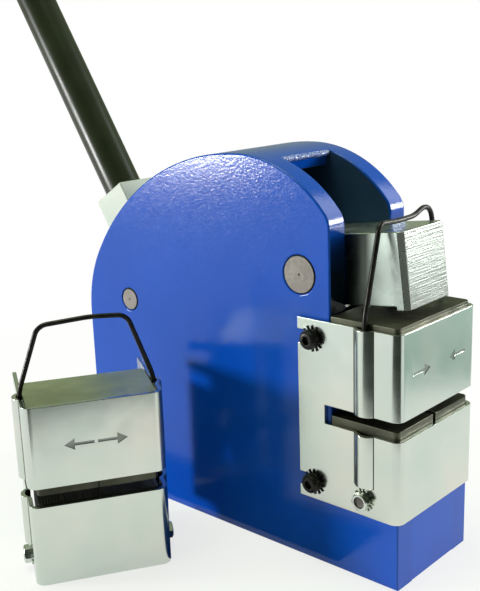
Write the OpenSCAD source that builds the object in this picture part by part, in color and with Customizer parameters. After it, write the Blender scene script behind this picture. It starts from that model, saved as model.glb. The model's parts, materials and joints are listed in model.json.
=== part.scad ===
// Bench shrinker and stretcher with two interchangeable jaw cartridges.
// X runs forward to the jaws, Y to the left-hand side, Z up.
// The origin is the middle of the base, on the surface that the tool stands on.

/* [Body] */
// Thickness of each side plate
plate_t = 12.7; // [9:0.1:16]
// Clear width between the side plates
plate_gap = 38.1; // [36:0.1:44]
// Height of the foot that carries the jaws
ledge_h = 35; // [25:0.5:45]
// Length of the foot in front of the seat
foot_len = 38.2; // [34:0.1:44]
// Crest of the arch, behind the seat
crest_back = 55.8; // [50:0.1:62]
// Height of the crest above the ram pin
crest_rise = 55.6; // [50:0.1:62]
// Radius of the arch in front of the crest
front_arc_r = 69; // [64:0.5:76]
// Radius that rounds the upper front corner
front_corner_r = 12; // [8:0.5:14]
// Radius that blends the arch into the rear edge
rear_blend_r = 70; // [62:0.5:78]
// Upper end of the straight rear edge, below the lever pin
rear_edge_drop = 12.2; // [8:0.1:18]
// Thickness of the roof between the plates
roof_t = 8.5; // [6:0.1:10]
// Front edge of the roof, behind the seat
roof_front_back = 38.3; // [33:0.1:46]
// Thickness of the rear plate
rear_plate_t = 9.5; // [6:0.1:14]
// Top of the rear plate, below the lever pin
rear_plate_drop = 17; // [14:0.5:47]
// Thickness of the base plate
base_plate_t = 12.7; // [9:0.1:20]
// Length of the foot block that reaches back between the plates
foot_back = 12.7; // [8:0.1:20]
// Distance between the two bench bolt holes
bench_hole_spacing = 88.9; // [60:0.1:100]
// Core diameter of the tapped bench bolt holes
bench_hole_d = 8.5; // [6:0.1:11]

/* [Pins] */
// Ram pin, behind the seat
ram_pin_back = 18.1; // [16:0.1:20.5]
// Height of the ram pin above the closed pressure block
ram_pin_rise = 17.6; // [16:0.1:20]
// Diameter of the ram pin
ram_pin_d = 19.05; // [16:0.05:20]
// Wall of the bronze bush in the ram
bush_wall = 3.2; // [2:0.1:4]
// Distance from the ram pin back to the lever pin
pin_spacing = 123; // [112:0.1:134]
// Height of the lever pin below the ram pin
pin_drop = 30.6; // [28:0.1:34]
// Distance from the lever pin to the rear end of the base
rear_len = 35.7; // [32:0.1:40]
// Diameter of the lever pin
lever_pin_d = 12.7; // [10:0.05:14]
// Radial clearance of a turning fit
turn_clear = 0.05; // [0.02:0.01:0.1]
// Radial clearance of the pins in the side plates
pin_seat_clear = 0.03; // [0.01:0.01:0.06]

/* [Ram] */
// Height of the ram bar
ram_h = 36.2; // [35:0.1:40]
// Height of the ram pin above the underside of the bar
ram_pin_up = 19.05; // [18:0.05:20]
// Reach of the ram in front of its pin
ram_nose = 51; // [48:0.1:52]
// Distance from the ram's tail to the lever pin, along the bar
tail_gap = 12; // [10.5:0.1:14]
// Nose-up tilt of the ram at rest, degrees
ram_tilt = 7; // [6:0.1:7.5]
// Side clearance of the ram between the plates
ram_side_clear = 0.3; // [0.2:0.05:0.8]
// Length of the pressing lip under the nose
lip_len = 6.5; // [4:0.1:10]
// Height of the pressing lip below the relieved underside
lip_h = 1.8; // [1:0.1:2.5]
// Length of the relief behind the lip
relief_len = 30; // [20:0.5:36]
// Chamfer on the upright front edges of the nose
nose_chamfer = 2.4; // [1:0.1:4]
// Chamfer on the upper end of the tail, which clears the roof
tail_chamfer = 6; // [5:0.1:10]

/* [Lever] */
// Width of the square lever block
lever_w = 25.4; // [22:0.1:28]
// Length of the lever block above its pin
lever_block_len = 66; // [60:0.5:74]
// Lean of the lever behind the upright at rest, degrees
lever_lean = 32.3; // [30:0.1:34]
// Travel of the lever from rest, degrees
lever_stroke = 50; // [40:1:50]
// Radius of the round boss about the lever pin
lever_boss_r = 13; // [11:0.1:13.2]
// Distance from the lever pin to the middle of the lifting toe
toe_reach = 22; // [21:0.1:22.5]
// Radius of the lifting toe
toe_r = 8; // [7:0.1:8.5]
// Thickness of the arm that carries the toe, flush with its underside
toe_arm_t = 12; // [9:0.1:12.4]
// Gap between the toe and the underside of the ram's tail
toe_gap = 0.45; // [0.4:0.05:0.8]
// Gap between the lever block and the rear end of the roof
lever_stop_gap = 1; // [0.5:0.1:4]
// Side clearance of the lever block between its spacers
lever_side_clear = 0.15; // [0.05:0.05:0.4]
// Wall of the spacers beside the lever block
spacer_wall = 4; // [3:0.1:6]
// Diameter of the handle bar
handle_d = 22.2; // [18:0.1:25]
// Length of the handle bar above the lever block
handle_len = 430; // [300:5:600]
// Diameter of the spigot at the foot of the handle
spigot_d = 14; // [10:0.1:17]
// Length of the spigot
spigot_len = 28; // [15:0.5:36]
// Wall of the hand grip
grip_wall = 2.6; // [1.5:0.1:5]
// Length of the hand grip
grip_len = 120; // [80:1:160]
// Thickness of the closed end of the grip
grip_end_t = 4; // [2:0.5:8]

/* [Jaw cartridges] */
// Thickness of the case sheet
sheet_t = 2.2; // [1.5:0.1:3]
// Gap between the case sheet and the side plates
case_side_clear = 0.2; // [0.1:0.05:0.5]
// Depth of the jaws from the seat to the inside of the case
jaw_depth = 38.1; // [35:0.1:40]
// Height of the case
case_h = 92.7; // [88:0.1:98]
// Outer radius of the case's upright corners
case_corner_r = 5; // [4:0.1:8]
// Reach of the ears back along the side plates
ear_len = 17.8; // [16:0.1:24]
// Height of the throat slit in the case
slit_h = 9.5; // [9:0.1:11]
// Reach of the slit into the ears, behind the seat
slit_back = 2.05; // [1:0.05:4]
// Middle of the upright bead, forward of the seat
bead_x = 20.75; // [17:0.05:24]
// Width of the bead
bead_w = 10.9; // [9:0.1:13]
// Height of the bead above the case wall
bead_h = 3; // [2.8:0.1:4]
// Gap between the bead's lower end and the bolt washer below it
bead_foot_gap = 1.3; // [0.5:0.1:8]
// Running gap between blocks, jaws and case
jaw_clear = 0.3; // [0.2:0.05:0.5]
// Slide clearance on the wedge faces
wedge_clear = 0.1; // [0.05:0.01:0.2]
// Angle of the wedge faces, degrees
wedge_angle = 35; // [30:1:38]
// Thinnest height of a jaw
jaw_thin_h = 8; // [6:0.1:10]
// Height of the closed pressure block above the shrinker case
shrinker_top_rise = 2.3; // [1:0.1:3]
// Reach of the upper shrinker jaws below the upper case edge
shrinker_upper_reach = 1; // [0.5:0.1:1.2]
// Reach of the lower shrinker jaws above the lower case edge
shrinker_lower_reach = 4; // [3:0.1:4.2]
// Seam between the two halves of a shrinker jaw at rest
shrinker_seam = 2.2; // [2.1:0.1:3]
// Height of the pressure block above the stretcher case, negative below it
stretcher_top_rise = -0.4; // [-2:0.1:1]
// Reach of the upper stretcher jaws below the upper case edge
stretcher_upper_reach = 4.6; // [4:0.1:4.8]
// Reach of the lower stretcher jaws above the lower case edge
stretcher_lower_reach = 0.5; // [0.3:0.1:0.6]
// Seam between the two halves of a stretcher jaw at rest
stretcher_seam = 0.4; // [0.3:0.1:0.6]
// Room for a stretcher jaw to move outwards
stretcher_room = 1.8; // [1.6:0.1:2.5]
// Diameter of the jaw return springs
spring_d = 6.4; // [5:0.1:7]
// Wire of the jaw return springs
spring_wire = 1; // [0.6:0.1:1.4]
// Depth of the spring pockets in the jaws
pocket_depth = 8; // [6:0.1:12]

/* [Bails] */
// Diameter of the bail wire
wire_d = 2.5; // [2:0.1:2.8]
// Gap between the bail's crosspiece and the top of the ram
bail_gap = 2.3; // [0.3:0.1:3]
// Gap between the bail's upper corners and the sides of the ram
bail_side_gap = 1.5; // [1:0.1:3]
// Straight length of the bail's legs above the pressure block
bail_straight = 2; // [1.5:0.1:6]
// Dip in the middle of the mounted bail's crosspiece
bail_dip = 2; // [0:0.1:2]
// Height of the loose bail's upper corners above its pressure block
loose_bail_rise = 35; // [32:0.1:46]
// Hump in the middle of the loose bail's crosspiece
loose_bail_hump = 1.5; // [0:0.1:2]
// Bend radius of the bail's corners
bail_bend_r = 5; // [3.5:0.1:7]
// Depth of the hooked ends in the pressure block
hook_depth = 6; // [4:0.1:9]
// Clearance of the wire in its hook holes
hook_clear = 0.6; // [0.5:0.05:1]
// Depth of the hook holes below the top of the pressure block
hook_drop = 6.5; // [4:0.1:8]

/* [Fasteners] */
// Thread diameter of the case screws
screw_d = 6.35; // [5:0.05:7]
// Thread diameter of the jaw bolts
jaw_bolt_d = 4.8; // [4:0.1:6]
// Clearance of a screw in a slot or hole of the case
screw_slot_clear = 0.25; // [0.1:0.05:0.6]
// Clearance of a screw in the hole that holds it
screw_seat_clear = 0.03; // [0.01:0.01:0.06]
// Middle of the case screws, behind the seat
case_screw_back = 8.6; // [7.5:0.1:10]
// Height of the lower case screw above the ledge, and of the upper one below the case top
case_screw_inset = 9.4; // [8.5:0.1:16]
// Depth of the case screws in the side plates
case_screw_depth = 10; // [6:0.5:11]
// Diameter of a socket head
socket_head_d = 10.6; // [8.5:0.1:11]
// Height of a socket head
socket_head_h = 4.6; // [3:0.1:7]
// Width of a screw's hexagon socket across its flats
socket_af = 4; // [3:0.1:6]
// Depth of the hexagon socket
socket_depth = 2; // [1.5:0.1:2.5]
// Outer diameter of a case screw's star washer
washer_d = 13; // [11.5:0.1:14]
// Outer diameter of a jaw bolt's star washer
bolt_washer_d = 11.4; // [10:0.1:12]
// Thickness of a star washer
washer_t = 0.9; // [0.6:0.1:1.4]
// Height of a star washer's teeth
washer_tooth = 1.2; // [0.6:0.1:2]
// Teeth of a star washer
washer_teeth = 12; // [8:1:16]
// Height of the jaw bolts above the foot of the case
jaw_bolt_z = 8.5; // [6.5:0.1:9]
// Width of a jaw bolt's hexagon across its flats
hex_af = 8; // [7:0.1:9]
// Height of a jaw bolt's hexagon
hex_h = 3.4; // [3:0.1:5]
// Depth of the jaw bolts in the lower block
jaw_bolt_depth = 9; // [6:0.5:12]

/* [Loose cartridge] */
// Middle of the loose cartridge's front, forward of the middle of the base
loose_x = -13.5; // [-30:0.5:0]
// Middle of the loose cartridge's front, to the right of the body
loose_right = 109; // [105:0.5:140]
// Turn of the loose cartridge to the right, degrees
loose_turn = 31.4; // [0:0.1:45]

/* [Hidden] */
$fn = 64;
eps = 0.01;
body_w = plate_gap + 2*plate_t;

// Lengths add up from the foot back to the rear end, and heights from the foot up to the crest
base_len = foot_len + ram_pin_back + pin_spacing + rear_len;
base_end = base_len/2;
seat_x = base_end - foot_len;
ram_pin_x = seat_x - ram_pin_back;
lever_pin_x = ram_pin_x - pin_spacing;
shrinker_top = case_h + shrinker_top_rise;
ram_pin_z = ledge_h + shrinker_top + ram_pin_rise;
lever_pin_z = ram_pin_z - pin_drop;
body_h = ram_pin_z + crest_rise;
rear_plate_h = lever_pin_z - rear_plate_drop;

// Arch of the side plates: arcs that run tangent into each other
crest_x = seat_x - crest_back;
front_arc_z = body_h - front_arc_r;
corner_x = seat_x - front_corner_r;
corner_z = front_arc_z + sqrt(pow(front_arc_r - front_corner_r, 2) - pow(corner_x - crest_x, 2));
corner_angle = atan2(corner_z - front_arc_z, corner_x - crest_x);
blend_x = rear_blend_r - base_end;
blend_z = lever_pin_z - rear_edge_drop;
blend_run = crest_x - blend_x;
blend_fall = body_h - blend_z;
rear_arc_r = (pow(blend_run, 2) + pow(blend_fall, 2) - pow(rear_blend_r, 2))
  /(2*(blend_fall - rear_blend_r));
rear_arc_z = body_h - rear_arc_r;
blend_angle = atan2(blend_z - rear_arc_z, blend_x - crest_x);
roof_front_angle = acos((crest_back - roof_front_back)/front_arc_r);

// Lever and ram: the toe lifts the tail about the line that joins the two pins
ram_w = plate_gap - 2*ram_side_clear;
ram_tail = pin_spacing - tail_gap;
bush_d = ram_pin_d + 2*turn_clear + 2*bush_wall;
pin_line = atan2(ram_pin_z - lever_pin_z, ram_pin_x - lever_pin_x);
toe_angle = pin_line - lever_stroke/2;
toe_x = lever_pin_x + toe_reach*cos(toe_angle);
toe_z = lever_pin_z + toe_reach*sin(toe_angle);
toe_line = atan2(ram_pin_z - toe_z, ram_pin_x - toe_x);
tail_notch = norm([ram_pin_x - toe_x, ram_pin_z - toe_z]) - 2*toe_r;
spacer_len = (plate_gap - lever_w)/2 - 2*lever_side_clear;
grip_d = handle_d + 2*grip_wall;

// Cartridge: x forward of the seat, z above the foot of the case
case_in = body_w/2 + case_side_clear;
case_out = case_in + sheet_t;
case_front = jaw_depth + sheet_t;
slit_low = (case_h - slit_h)/2;
slit_high = slit_low + slit_h;
block_w = 2*(case_in - jaw_clear);
block_depth = jaw_depth - 2*jaw_clear;
block_corner_r = case_corner_r - sheet_t - jaw_clear;
bead_r = (pow(bead_w/2, 2) + bead_h*bead_h)/(2*bead_h);
bead_half_angle = asin(bead_w/2/bead_r);
bead_foot = jaw_bolt_z + bolt_washer_d/2 + bead_foot_gap;
wire_y = case_in + bead_h - jaw_clear - wire_d/2;
case_screw_low = case_screw_inset;
case_screw_high = case_h - case_screw_inset;
screw_hole_d = screw_d + 2*screw_seat_clear;
screw_slot_d = screw_d + 2*screw_slot_clear;
bolt_hole_d = jaw_bolt_d + 2*screw_seat_clear;
bolt_slot_d = jaw_bolt_d + 2*screw_slot_clear;
rise_per_mm = tan(wedge_angle);
spring_level = jaw_thin_h + spring_d/2;
shrinker_upper_face = slit_high - shrinker_upper_reach;
shrinker_lower_face = slit_low + shrinker_lower_reach;
shrinker_spring_half = shrinker_seam/2 + pocket_depth - jaw_clear;
stretcher_upper_face = slit_high - stretcher_upper_reach;
stretcher_lower_face = slit_low + stretcher_lower_reach;
stretcher_top = case_h + stretcher_top_rise;
stretcher_spring_in = block_w/2 - stretcher_room - pocket_depth + jaw_clear;

// Bail: on the mounted cartridge it clears the top and the sides of the ram
bail_front = seat_x + bead_x + wire_d/2;
ram_top_z = ram_pin_z + (bail_front - ram_pin_x)*tan(ram_tilt) + (ram_h - ram_pin_up)/cos(ram_tilt);
bail_rise = ram_top_z + bail_gap + wire_d/2 - ledge_h - shrinker_top;
bail_top_w = ram_w + wire_d + 2*bail_side_gap;

// Points of an arc about [x, y] from angle a to angle b
function arc(x, y, r, a, b, n) =
  [for (i = [0:n]) let (t = a + (b - a)*i/n) [x + r*cos(t), y + r*sin(t)]];
function reversed(list) = [for (i = [len(list) - 1:-1:0]) list[i]];
function mirrored(points) = reversed([for (p = points) [p[0], -p[1]]]);

// Puts children drawn along z so that they run along y, at height z
module across(x, z) translate([x, 0, z]) rotate([90, 0, 0]) children();

// Places children of the mounted cartridge, and of the loose one
module mounted() translate([seat_x, 0, ledge_h]) children();
module loose() translate([loose_x, -loose_right, 0]) rotate([0, 0, -loose_turn])
  translate([-case_front, 0, 0]) children();

// Body

function plate_outline() = concat(
  [[-base_end, 0], [base_end, 0], [base_end, ledge_h], [seat_x, ledge_h]],
  arc(corner_x, corner_z, front_corner_r, 0, corner_angle, 8),
  arc(crest_x, front_arc_z, front_arc_r, corner_angle, 90, 18),
  arc(crest_x, rear_arc_z, rear_arc_r, 90, blend_angle, 24),
  arc(blend_x, blend_z, rear_blend_r, blend_angle, 180, 14));

module side_plate(side) {
  difference() {
    translate([0, side*(plate_gap + plate_t)/2 + plate_t/2, 0]) rotate([90, 0, 0])
      linear_extrude(plate_t) polygon(plate_outline());
    across(ram_pin_x, ram_pin_z)
      cylinder(d = ram_pin_d + 2*pin_seat_clear, h = 2*body_w, center = true);
    across(lever_pin_x, lever_pin_z)
      cylinder(d = lever_pin_d + 2*pin_seat_clear, h = 2*body_w, center = true);
    for (z = [case_screw_low, case_screw_high])
      translate([seat_x - case_screw_back, side*(body_w/2 - case_screw_depth), ledge_h + z])
        rotate([-side*90, 0, 0]) cylinder(d = screw_hole_d, h = 2*case_screw_depth);
  }
}
module right_side_plate() color("royalblue") side_plate(-1);
module left_side_plate() color("royalblue") side_plate(1);

// Curved roof, cut short where the upright lever needs room
module roof_plate() color("royalblue") difference() {
  across(0, 0) linear_extrude(plate_gap, center = true) polygon(concat(
    arc(crest_x, front_arc_z, front_arc_r, roof_front_angle, 90, 8),
    arc(crest_x, rear_arc_z, rear_arc_r, 90, blend_angle, 24),
    arc(crest_x, rear_arc_z, rear_arc_r - roof_t, blend_angle, 90, 24),
    arc(crest_x, front_arc_z, front_arc_r - roof_t, 90, roof_front_angle, 8)));
  at_lever() translate([lever_w/2 + lever_stop_gap - base_len, -body_w, 0])
    cube([base_len, 2*body_w, base_len]);
}

module rear_plate() color("royalblue") translate([-base_end, -plate_gap/2, 0])
  cube([rear_plate_t, plate_gap, rear_plate_h]);

module base_plate() color("royalblue") difference() {
  translate([rear_plate_t - base_end, -plate_gap/2, 0])
    cube([seat_x - foot_back + base_end - rear_plate_t, plate_gap, base_plate_t]);
  for (x = [-bench_hole_spacing/2, bench_hole_spacing/2])
    translate([x, 0, -eps]) cylinder(d = bench_hole_d, h = base_plate_t + 2*eps);
}

module foot_block() color("royalblue") translate([seat_x - foot_back, -plate_gap/2, 0])
  cube([base_end - seat_x + foot_back, plate_gap, ledge_h]);

module ram_pin() color("tan") across(ram_pin_x, ram_pin_z)
  cylinder(d = ram_pin_d, h = body_w, center = true);

module lever_pin() color("tan") across(lever_pin_x, lever_pin_z)
  cylinder(d = lever_pin_d, h = body_w, center = true);

module lever_spacers() color("goldenrod") for (side = [-1, 1])
  across(lever_pin_x, lever_pin_z) translate([0, 0, side*(lever_w + plate_gap)/4])
    difference() {
      cylinder(r = lever_pin_d/2 + pin_seat_clear + spacer_wall, h = spacer_len, center = true);
      cylinder(d = lever_pin_d + 2*pin_seat_clear, h = 2*spacer_len, center = true);
    }

// Ram

module at_ram() translate([ram_pin_x, 0, ram_pin_z]) rotate([0, -ram_tilt, 0]) children();

module ram() color("gainsboro") at_ram() difference() {
  translate([-ram_tail, -ram_w/2, -ram_pin_up]) cube([ram_tail + ram_nose, ram_w, ram_h]);
  rotate([90, 0, 0]) cylinder(d = bush_d, h = 2*ram_w, center = true);
  translate([ram_nose - lip_len - relief_len, -ram_w, -ram_pin_up - lip_h])
    cube([relief_len, 2*ram_w, 2*lip_h]);
  rotate([0, ram_tilt - toe_line, 0])
    translate([-2*ram_tail, -ram_w, toe_r + toe_gap - ram_h])
      cube([2*ram_tail - tail_notch, 2*ram_w, ram_h]);
  for (side = [-1, 1]) translate([ram_nose, side*ram_w/2, 0]) rotate([0, 0, 45])
    cube([nose_chamfer*sqrt(2), nose_chamfer*sqrt(2), 2*ram_h], center = true);
  translate([-ram_tail, 0, ram_h - ram_pin_up]) rotate([0, 45, 0])
    cube([tail_chamfer*sqrt(2), 2*ram_w, tail_chamfer*sqrt(2)], center = true);
}

module ram_bush() color("peru") at_ram() rotate([90, 0, 0]) difference() {
  cylinder(d = bush_d, h = ram_w, center = true);
  cylinder(d = ram_pin_d + 2*turn_clear, h = 2*ram_w, center = true);
}

// Lever

module at_lever() translate([lever_pin_x, 0, lever_pin_z]) rotate([0, -lever_lean, 0]) children();

module lever_block() color("gainsboro") at_lever() difference() {
  union() {
    translate([-lever_w/2, -lever_w/2, 0]) cube([lever_w, lever_w, lever_block_len]);
    rotate([90, 0, 0]) cylinder(r = lever_boss_r, h = lever_w, center = true);
    rotate([0, lever_lean - toe_angle, 0]) {
      translate([0, -lever_w/2, -toe_r]) cube([toe_reach, lever_w, toe_arm_t]);
      translate([toe_reach, 0, 0]) rotate([90, 0, 0]) cylinder(r = toe_r, h = lever_w, center = true);
    }
  }
  rotate([90, 0, 0]) cylinder(d = lever_pin_d + 2*turn_clear, h = 2*lever_w, center = true);
  translate([0, 0, lever_block_len - spigot_len]) cylinder(d = spigot_d, h = 2*spigot_len);
}

module handle_bar() color("black") at_lever() {
  translate([0, 0, lever_block_len - spigot_len]) cylinder(d = spigot_d, h = spigot_len + eps);
  translate([0, 0, lever_block_len]) cylinder(d = handle_d, h = handle_len);
}

module hand_grip() color("black") at_lever()
  translate([0, 0, lever_block_len + handle_len - grip_len]) rotate_extrude() polygon([
    [handle_d/2, 0], [grip_d/2 - grip_wall/2, 0], [grip_d/2, grip_wall/2],
    [grip_d/2, grip_len], [grip_d/2 - grip_end_t, grip_len + grip_end_t],
    [0, grip_len + grip_end_t], [0, grip_len], [handle_d/2, grip_len]]);

// Fasteners

// Star washer on the plane z = 0, with a ring of teeth round its edge
module star_washer(outer_d, hole_d) difference() {
  linear_extrude(washer_t) polygon([for (i = [0:4*washer_teeth - 1])
    let (a = 90*i/washer_teeth, r = outer_d/2 - (i % 4 < 2 ? 0 : washer_tooth))
    [r*cos(a), r*sin(a)]]);
  translate([0, 0, -eps]) cylinder(d = hole_d, h = washer_t + 2*eps);
}

// Places children on each ear of the mounted case, pointing outwards from the sheet
module on_ears() for (side = [-1, 1], z = [case_screw_low, case_screw_high])
  mounted() translate([-case_screw_back, side*case_out, z]) rotate([-side*90, 0, 0]) children();

module case_screws() color("black") on_ears() {
  translate([0, 0, -sheet_t - case_screw_depth])
    cylinder(d = screw_d, h = case_screw_depth + sheet_t + washer_t + eps);
  translate([0, 0, washer_t]) difference() {
    cylinder(d = socket_head_d, h = socket_head_h);
    translate([0, 0, socket_head_h - socket_depth])
      cylinder(d = socket_af/cos(30), h = socket_head_h, $fn = 6);
  }
}

module case_screw_washers() color("black") on_ears() star_washer(washer_d, screw_hole_d);

// Places children below each bead, pointing outwards from the flat sheet
module below_beads() for (side = [-1, 1])
  translate([bead_x, side*case_out, jaw_bolt_z]) rotate([-side*90, 0, 0]) children();

module jaw_bolts() below_beads() {
  translate([0, 0, block_w/2 - case_out - jaw_bolt_depth])
    cylinder(d = jaw_bolt_d, h = case_out - block_w/2 + jaw_bolt_depth + washer_t + eps);
  translate([0, 0, washer_t]) cylinder(d = hex_af/cos(30), h = hex_h, $fn = 6);
}

module bolt_washers() below_beads() star_washer(bolt_washer_d, bolt_hole_d);

// Cartridge

// Half outline of the bent sheet at distance out from the inner wall, from the ear to the middle
function sheet_half(out, beaded) = let (y = case_in + out, r = case_corner_r - sheet_t + out) concat(
  [[-ear_len, y]], beaded
    ? arc(bead_x, y + bead_h - bead_r, bead_r, 90 + bead_half_angle, 90 - bead_half_angle, 10) : [],
  arc(jaw_depth + out - r, y - r, r, 90, 0, 8));

module bent_sheet(height, beaded) linear_extrude(height) polygon(concat(
  sheet_half(sheet_t, beaded), mirrored(sheet_half(sheet_t, beaded)),
  reversed(mirrored(sheet_half(0, beaded))), reversed(sheet_half(0, beaded))));

// Case, flat at its foot, where the bolts clamp it, and beaded above
module cartridge_case() difference() {
  union() {
    bent_sheet(bead_foot, false);
    translate([0, 0, bead_foot]) bent_sheet(case_h - bead_foot, true);
  }
  translate([-slit_back, -body_w, slit_low]) cube([base_len, 2*body_w, slit_h]);
  for (z = [case_screw_low, case_screw_high]) {
    translate([-case_screw_back, 0, z]) rotate([90, 0, 0])
      cylinder(d = screw_slot_d, h = 2*body_w, center = true);
    translate([-case_screw_back - ear_len, -body_w, z - screw_slot_d/2])
      cube([ear_len, 2*body_w, screw_slot_d]);
  }
  translate([bead_x, 0, jaw_bolt_z]) rotate([90, 0, 0])
    cylinder(d = bolt_slot_d, h = 2*body_w, center = true);
}

// Half outline from above of a block of half width w, with a front corner that clears the case
function block_half(w) = concat([[jaw_clear, w]], arc(jaw_clear + block_depth - block_corner_r,
  w - block_corner_r, block_corner_r, 90, 0, 6));

// Extrudes a section, drawn in y and z, through the depth of the jaws within half width w
module through_depth(w) intersection() {
  translate([jaw_clear, 0, 0]) rotate([90, 0, 90]) linear_extrude(block_depth) children();
  linear_extrude(2*case_h) polygon(concat(block_half(w), mirrored(block_half(w))));
}

// Rise of the wedge face from a jaw's thin edge, which is the outer one on a shrinker jaw
function wedge_rise(y, shrinks) = rise_per_mm*(shrinks ? block_w/2 - y : y);

// Pressure block above the jaws, with its wedge faces and its hook holes
module pressure_block(face_z, top_z, shrinks) difference() {
  through_depth(block_w/2) polygon([
    [-block_w/2, top_z], [-block_w/2, face_z + jaw_thin_h + wedge_rise(block_w/2, shrinks)],
    [0, face_z + jaw_thin_h + wedge_rise(0, shrinks)],
    [block_w/2, face_z + jaw_thin_h + wedge_rise(block_w/2, shrinks)], [block_w/2, top_z]]);
  for (side = [-1, 1]) translate([bead_x, side*block_w/2, top_z - hook_drop]) rotate([90, 0, 0])
    cylinder(d = wire_d + 2*hook_clear, h = 2*(hook_depth + hook_clear), center = true);
}

// Lower block on the foot, with its wedge faces and its tapped bolt holes
module lower_block(face_z, shrinks) difference() {
  through_depth(block_w/2) polygon([
    [-block_w/2, 0], [block_w/2, 0], [block_w/2, face_z - jaw_thin_h - wedge_rise(block_w/2, shrinks)],
    [0, face_z - jaw_thin_h - wedge_rise(0, shrinks)],
    [-block_w/2, face_z - jaw_thin_h - wedge_rise(block_w/2, shrinks)]]);
  for (side = [-1, 1]) translate([bead_x, side*block_w/2, jaw_bolt_z]) rotate([90, 0, 0])
    cylinder(d = bolt_hole_d, h = 2*jaw_bolt_depth + 2*eps, center = true);
}

// One jaw half. up is 1 above the throat and -1 below it
module jaw(face_z, up, side, seam, outside, shrinks) {
  inner = seam/2;
  outer = block_w/2 - outside;
  thin_z = face_z + up*(jaw_thin_h - wedge_clear);
  difference() {
    through_depth(outer) polygon([
      [side*inner, face_z], [side*outer, face_z],
      [side*outer, thin_z + up*wedge_rise(outer, shrinks)],
      [side*inner, thin_z + up*wedge_rise(inner, shrinks)]]);
    translate([bead_x, side*(shrinks ? 0 : block_w/2), face_z + up*spring_level]) rotate([90, 0, 0])
      cylinder(d = spring_d + 2*jaw_clear, center = true,
        h = 2*(pocket_depth + (shrinks ? inner : outside)));
  }
}

// A return spring, as a plain sleeve between y = a and y = b
module return_spring(z, a, b) translate([bead_x, b, z]) rotate([90, 0, 0]) difference() {
  cylinder(d = spring_d, h = b - a);
  translate([0, 0, -eps]) cylinder(d = spring_d - 2*spring_wire, h = b - a + 2*eps);
}

// Bail: a bent wire hooked into the pressure block, which rises in the beads and passes over the ram
function bail_half(top_z, rise) = [
  [block_w/2 - hook_depth, top_z - hook_drop], [wire_y, top_z - hook_drop],
  [wire_y, top_z + bail_straight], [bail_top_w/2, top_z + rise]];
function bail_corners(top_z, rise, hump) = concat([for (p = bail_half(top_z, rise)) [-p[0], p[1]]],
  [[0, top_z + rise + hump]], reversed(bail_half(top_z, rise)));

// Route of the wire with each corner rounded by a short curve that starts a bend length before it
function bail_route(c, bend) = concat([c[0]], [for (i = [1:len(c) - 2], k = [0:4])
  let (t = k/4, a = c[i] + bend_at(c, i, bend)*unit(c[i - 1] - c[i]),
    b = c[i] + bend_at(c, i, bend)*unit(c[i + 1] - c[i]))
  (1 - t)*(1 - t)*a + 2*t*(1 - t)*c[i] + t*t*b], [c[len(c) - 1]]);
function unit(v) = v/norm(v);
function bend_at(c, i, bend) = min(bend, 0.45*norm(c[i - 1] - c[i]), 0.45*norm(c[i + 1] - c[i]));

// A round wire swept along points in the y-z plane, as rings of sides points
module wire(route, sides = 10) {
  n = len(route);
  along = [for (i = [0:n - 1]) unit(route[min(i + 1, n - 1)] - route[max(i - 1, 0)])];
  points = [for (i = [0:n - 1], k = [0:sides - 1])
    let (x = wire_d/2*cos(360*k/sides), up = wire_d/2*sin(360*k/sides))
    [bead_x + x, route[i][0] - along[i][1]*up, route[i][1] + along[i][0]*up]];
  skin = [for (i = [0:n - 2], k = [0:sides - 1]) let (a = i*sides + k, b = i*sides + (k + 1) % sides)
    each [[a, b, b + sides], [a, b + sides, a + sides]]];
  caps = [[for (k = [sides - 1:-1:0]) k], [for (k = [0:sides - 1]) (n - 1)*sides + k]];
  polyhedron(points, concat(skin, caps));
}

module bail(top_z, rise, hump) wire(bail_route(bail_corners(top_z, rise, hump), bail_bend_r));

// Shrinker cartridge, mounted on the body

module shrinker_case() color("gainsboro") mounted() cartridge_case();
module shrinker_lower_block() color("dimgray") mounted() lower_block(shrinker_lower_face, true);
module shrinker_jaw_bolts() color("silver") mounted() jaw_bolts();
module shrinker_bolt_washers() color("gray") mounted() bolt_washers();
module shrinker_pressure_block() color("dimgray") mounted()
  pressure_block(shrinker_upper_face, shrinker_top, true);
module shrinker_bail() color("black") mounted()
  bail(shrinker_top, bail_rise + bail_dip, -bail_dip);
module shrinker_jaw(up, side) color("darkslategray") mounted()
  jaw(up > 0 ? shrinker_upper_face : shrinker_lower_face, up, side, shrinker_seam, 0, true);
module shrinker_upper_jaw_right() shrinker_jaw(1, -1);
module shrinker_upper_jaw_left() shrinker_jaw(1, 1);
module shrinker_lower_jaw_right() shrinker_jaw(-1, -1);
module shrinker_lower_jaw_left() shrinker_jaw(-1, 1);
module shrinker_upper_spring() color("silver") mounted()
  return_spring(shrinker_upper_face + spring_level, -shrinker_spring_half, shrinker_spring_half);
module shrinker_lower_spring() color("silver") mounted()
  return_spring(shrinker_lower_face - spring_level, -shrinker_spring_half, shrinker_spring_half);

// Stretcher cartridge, standing loose beside the body

module stretcher_case() color("gainsboro") loose() cartridge_case();
module stretcher_lower_block() color("dimgray") loose() lower_block(stretcher_lower_face, false);
module stretcher_jaw_bolts() color("silver") loose() jaw_bolts();
module stretcher_bolt_washers() color("gray") loose() bolt_washers();
module stretcher_pressure_block() color("dimgray") loose()
  pressure_block(stretcher_upper_face, stretcher_top, false);
module stretcher_bail() color("black") loose()
  bail(stretcher_top, loose_bail_rise, loose_bail_hump);
module stretcher_jaw(up, side) color("darkslategray") loose()
  jaw(up > 0 ? stretcher_upper_face : stretcher_lower_face, up, side,
    stretcher_seam, stretcher_room, false);
module stretcher_upper_jaw_right() stretcher_jaw(1, -1);
module stretcher_upper_jaw_left() stretcher_jaw(1, 1);
module stretcher_lower_jaw_right() stretcher_jaw(-1, -1);
module stretcher_lower_jaw_left() stretcher_jaw(-1, 1);

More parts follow.
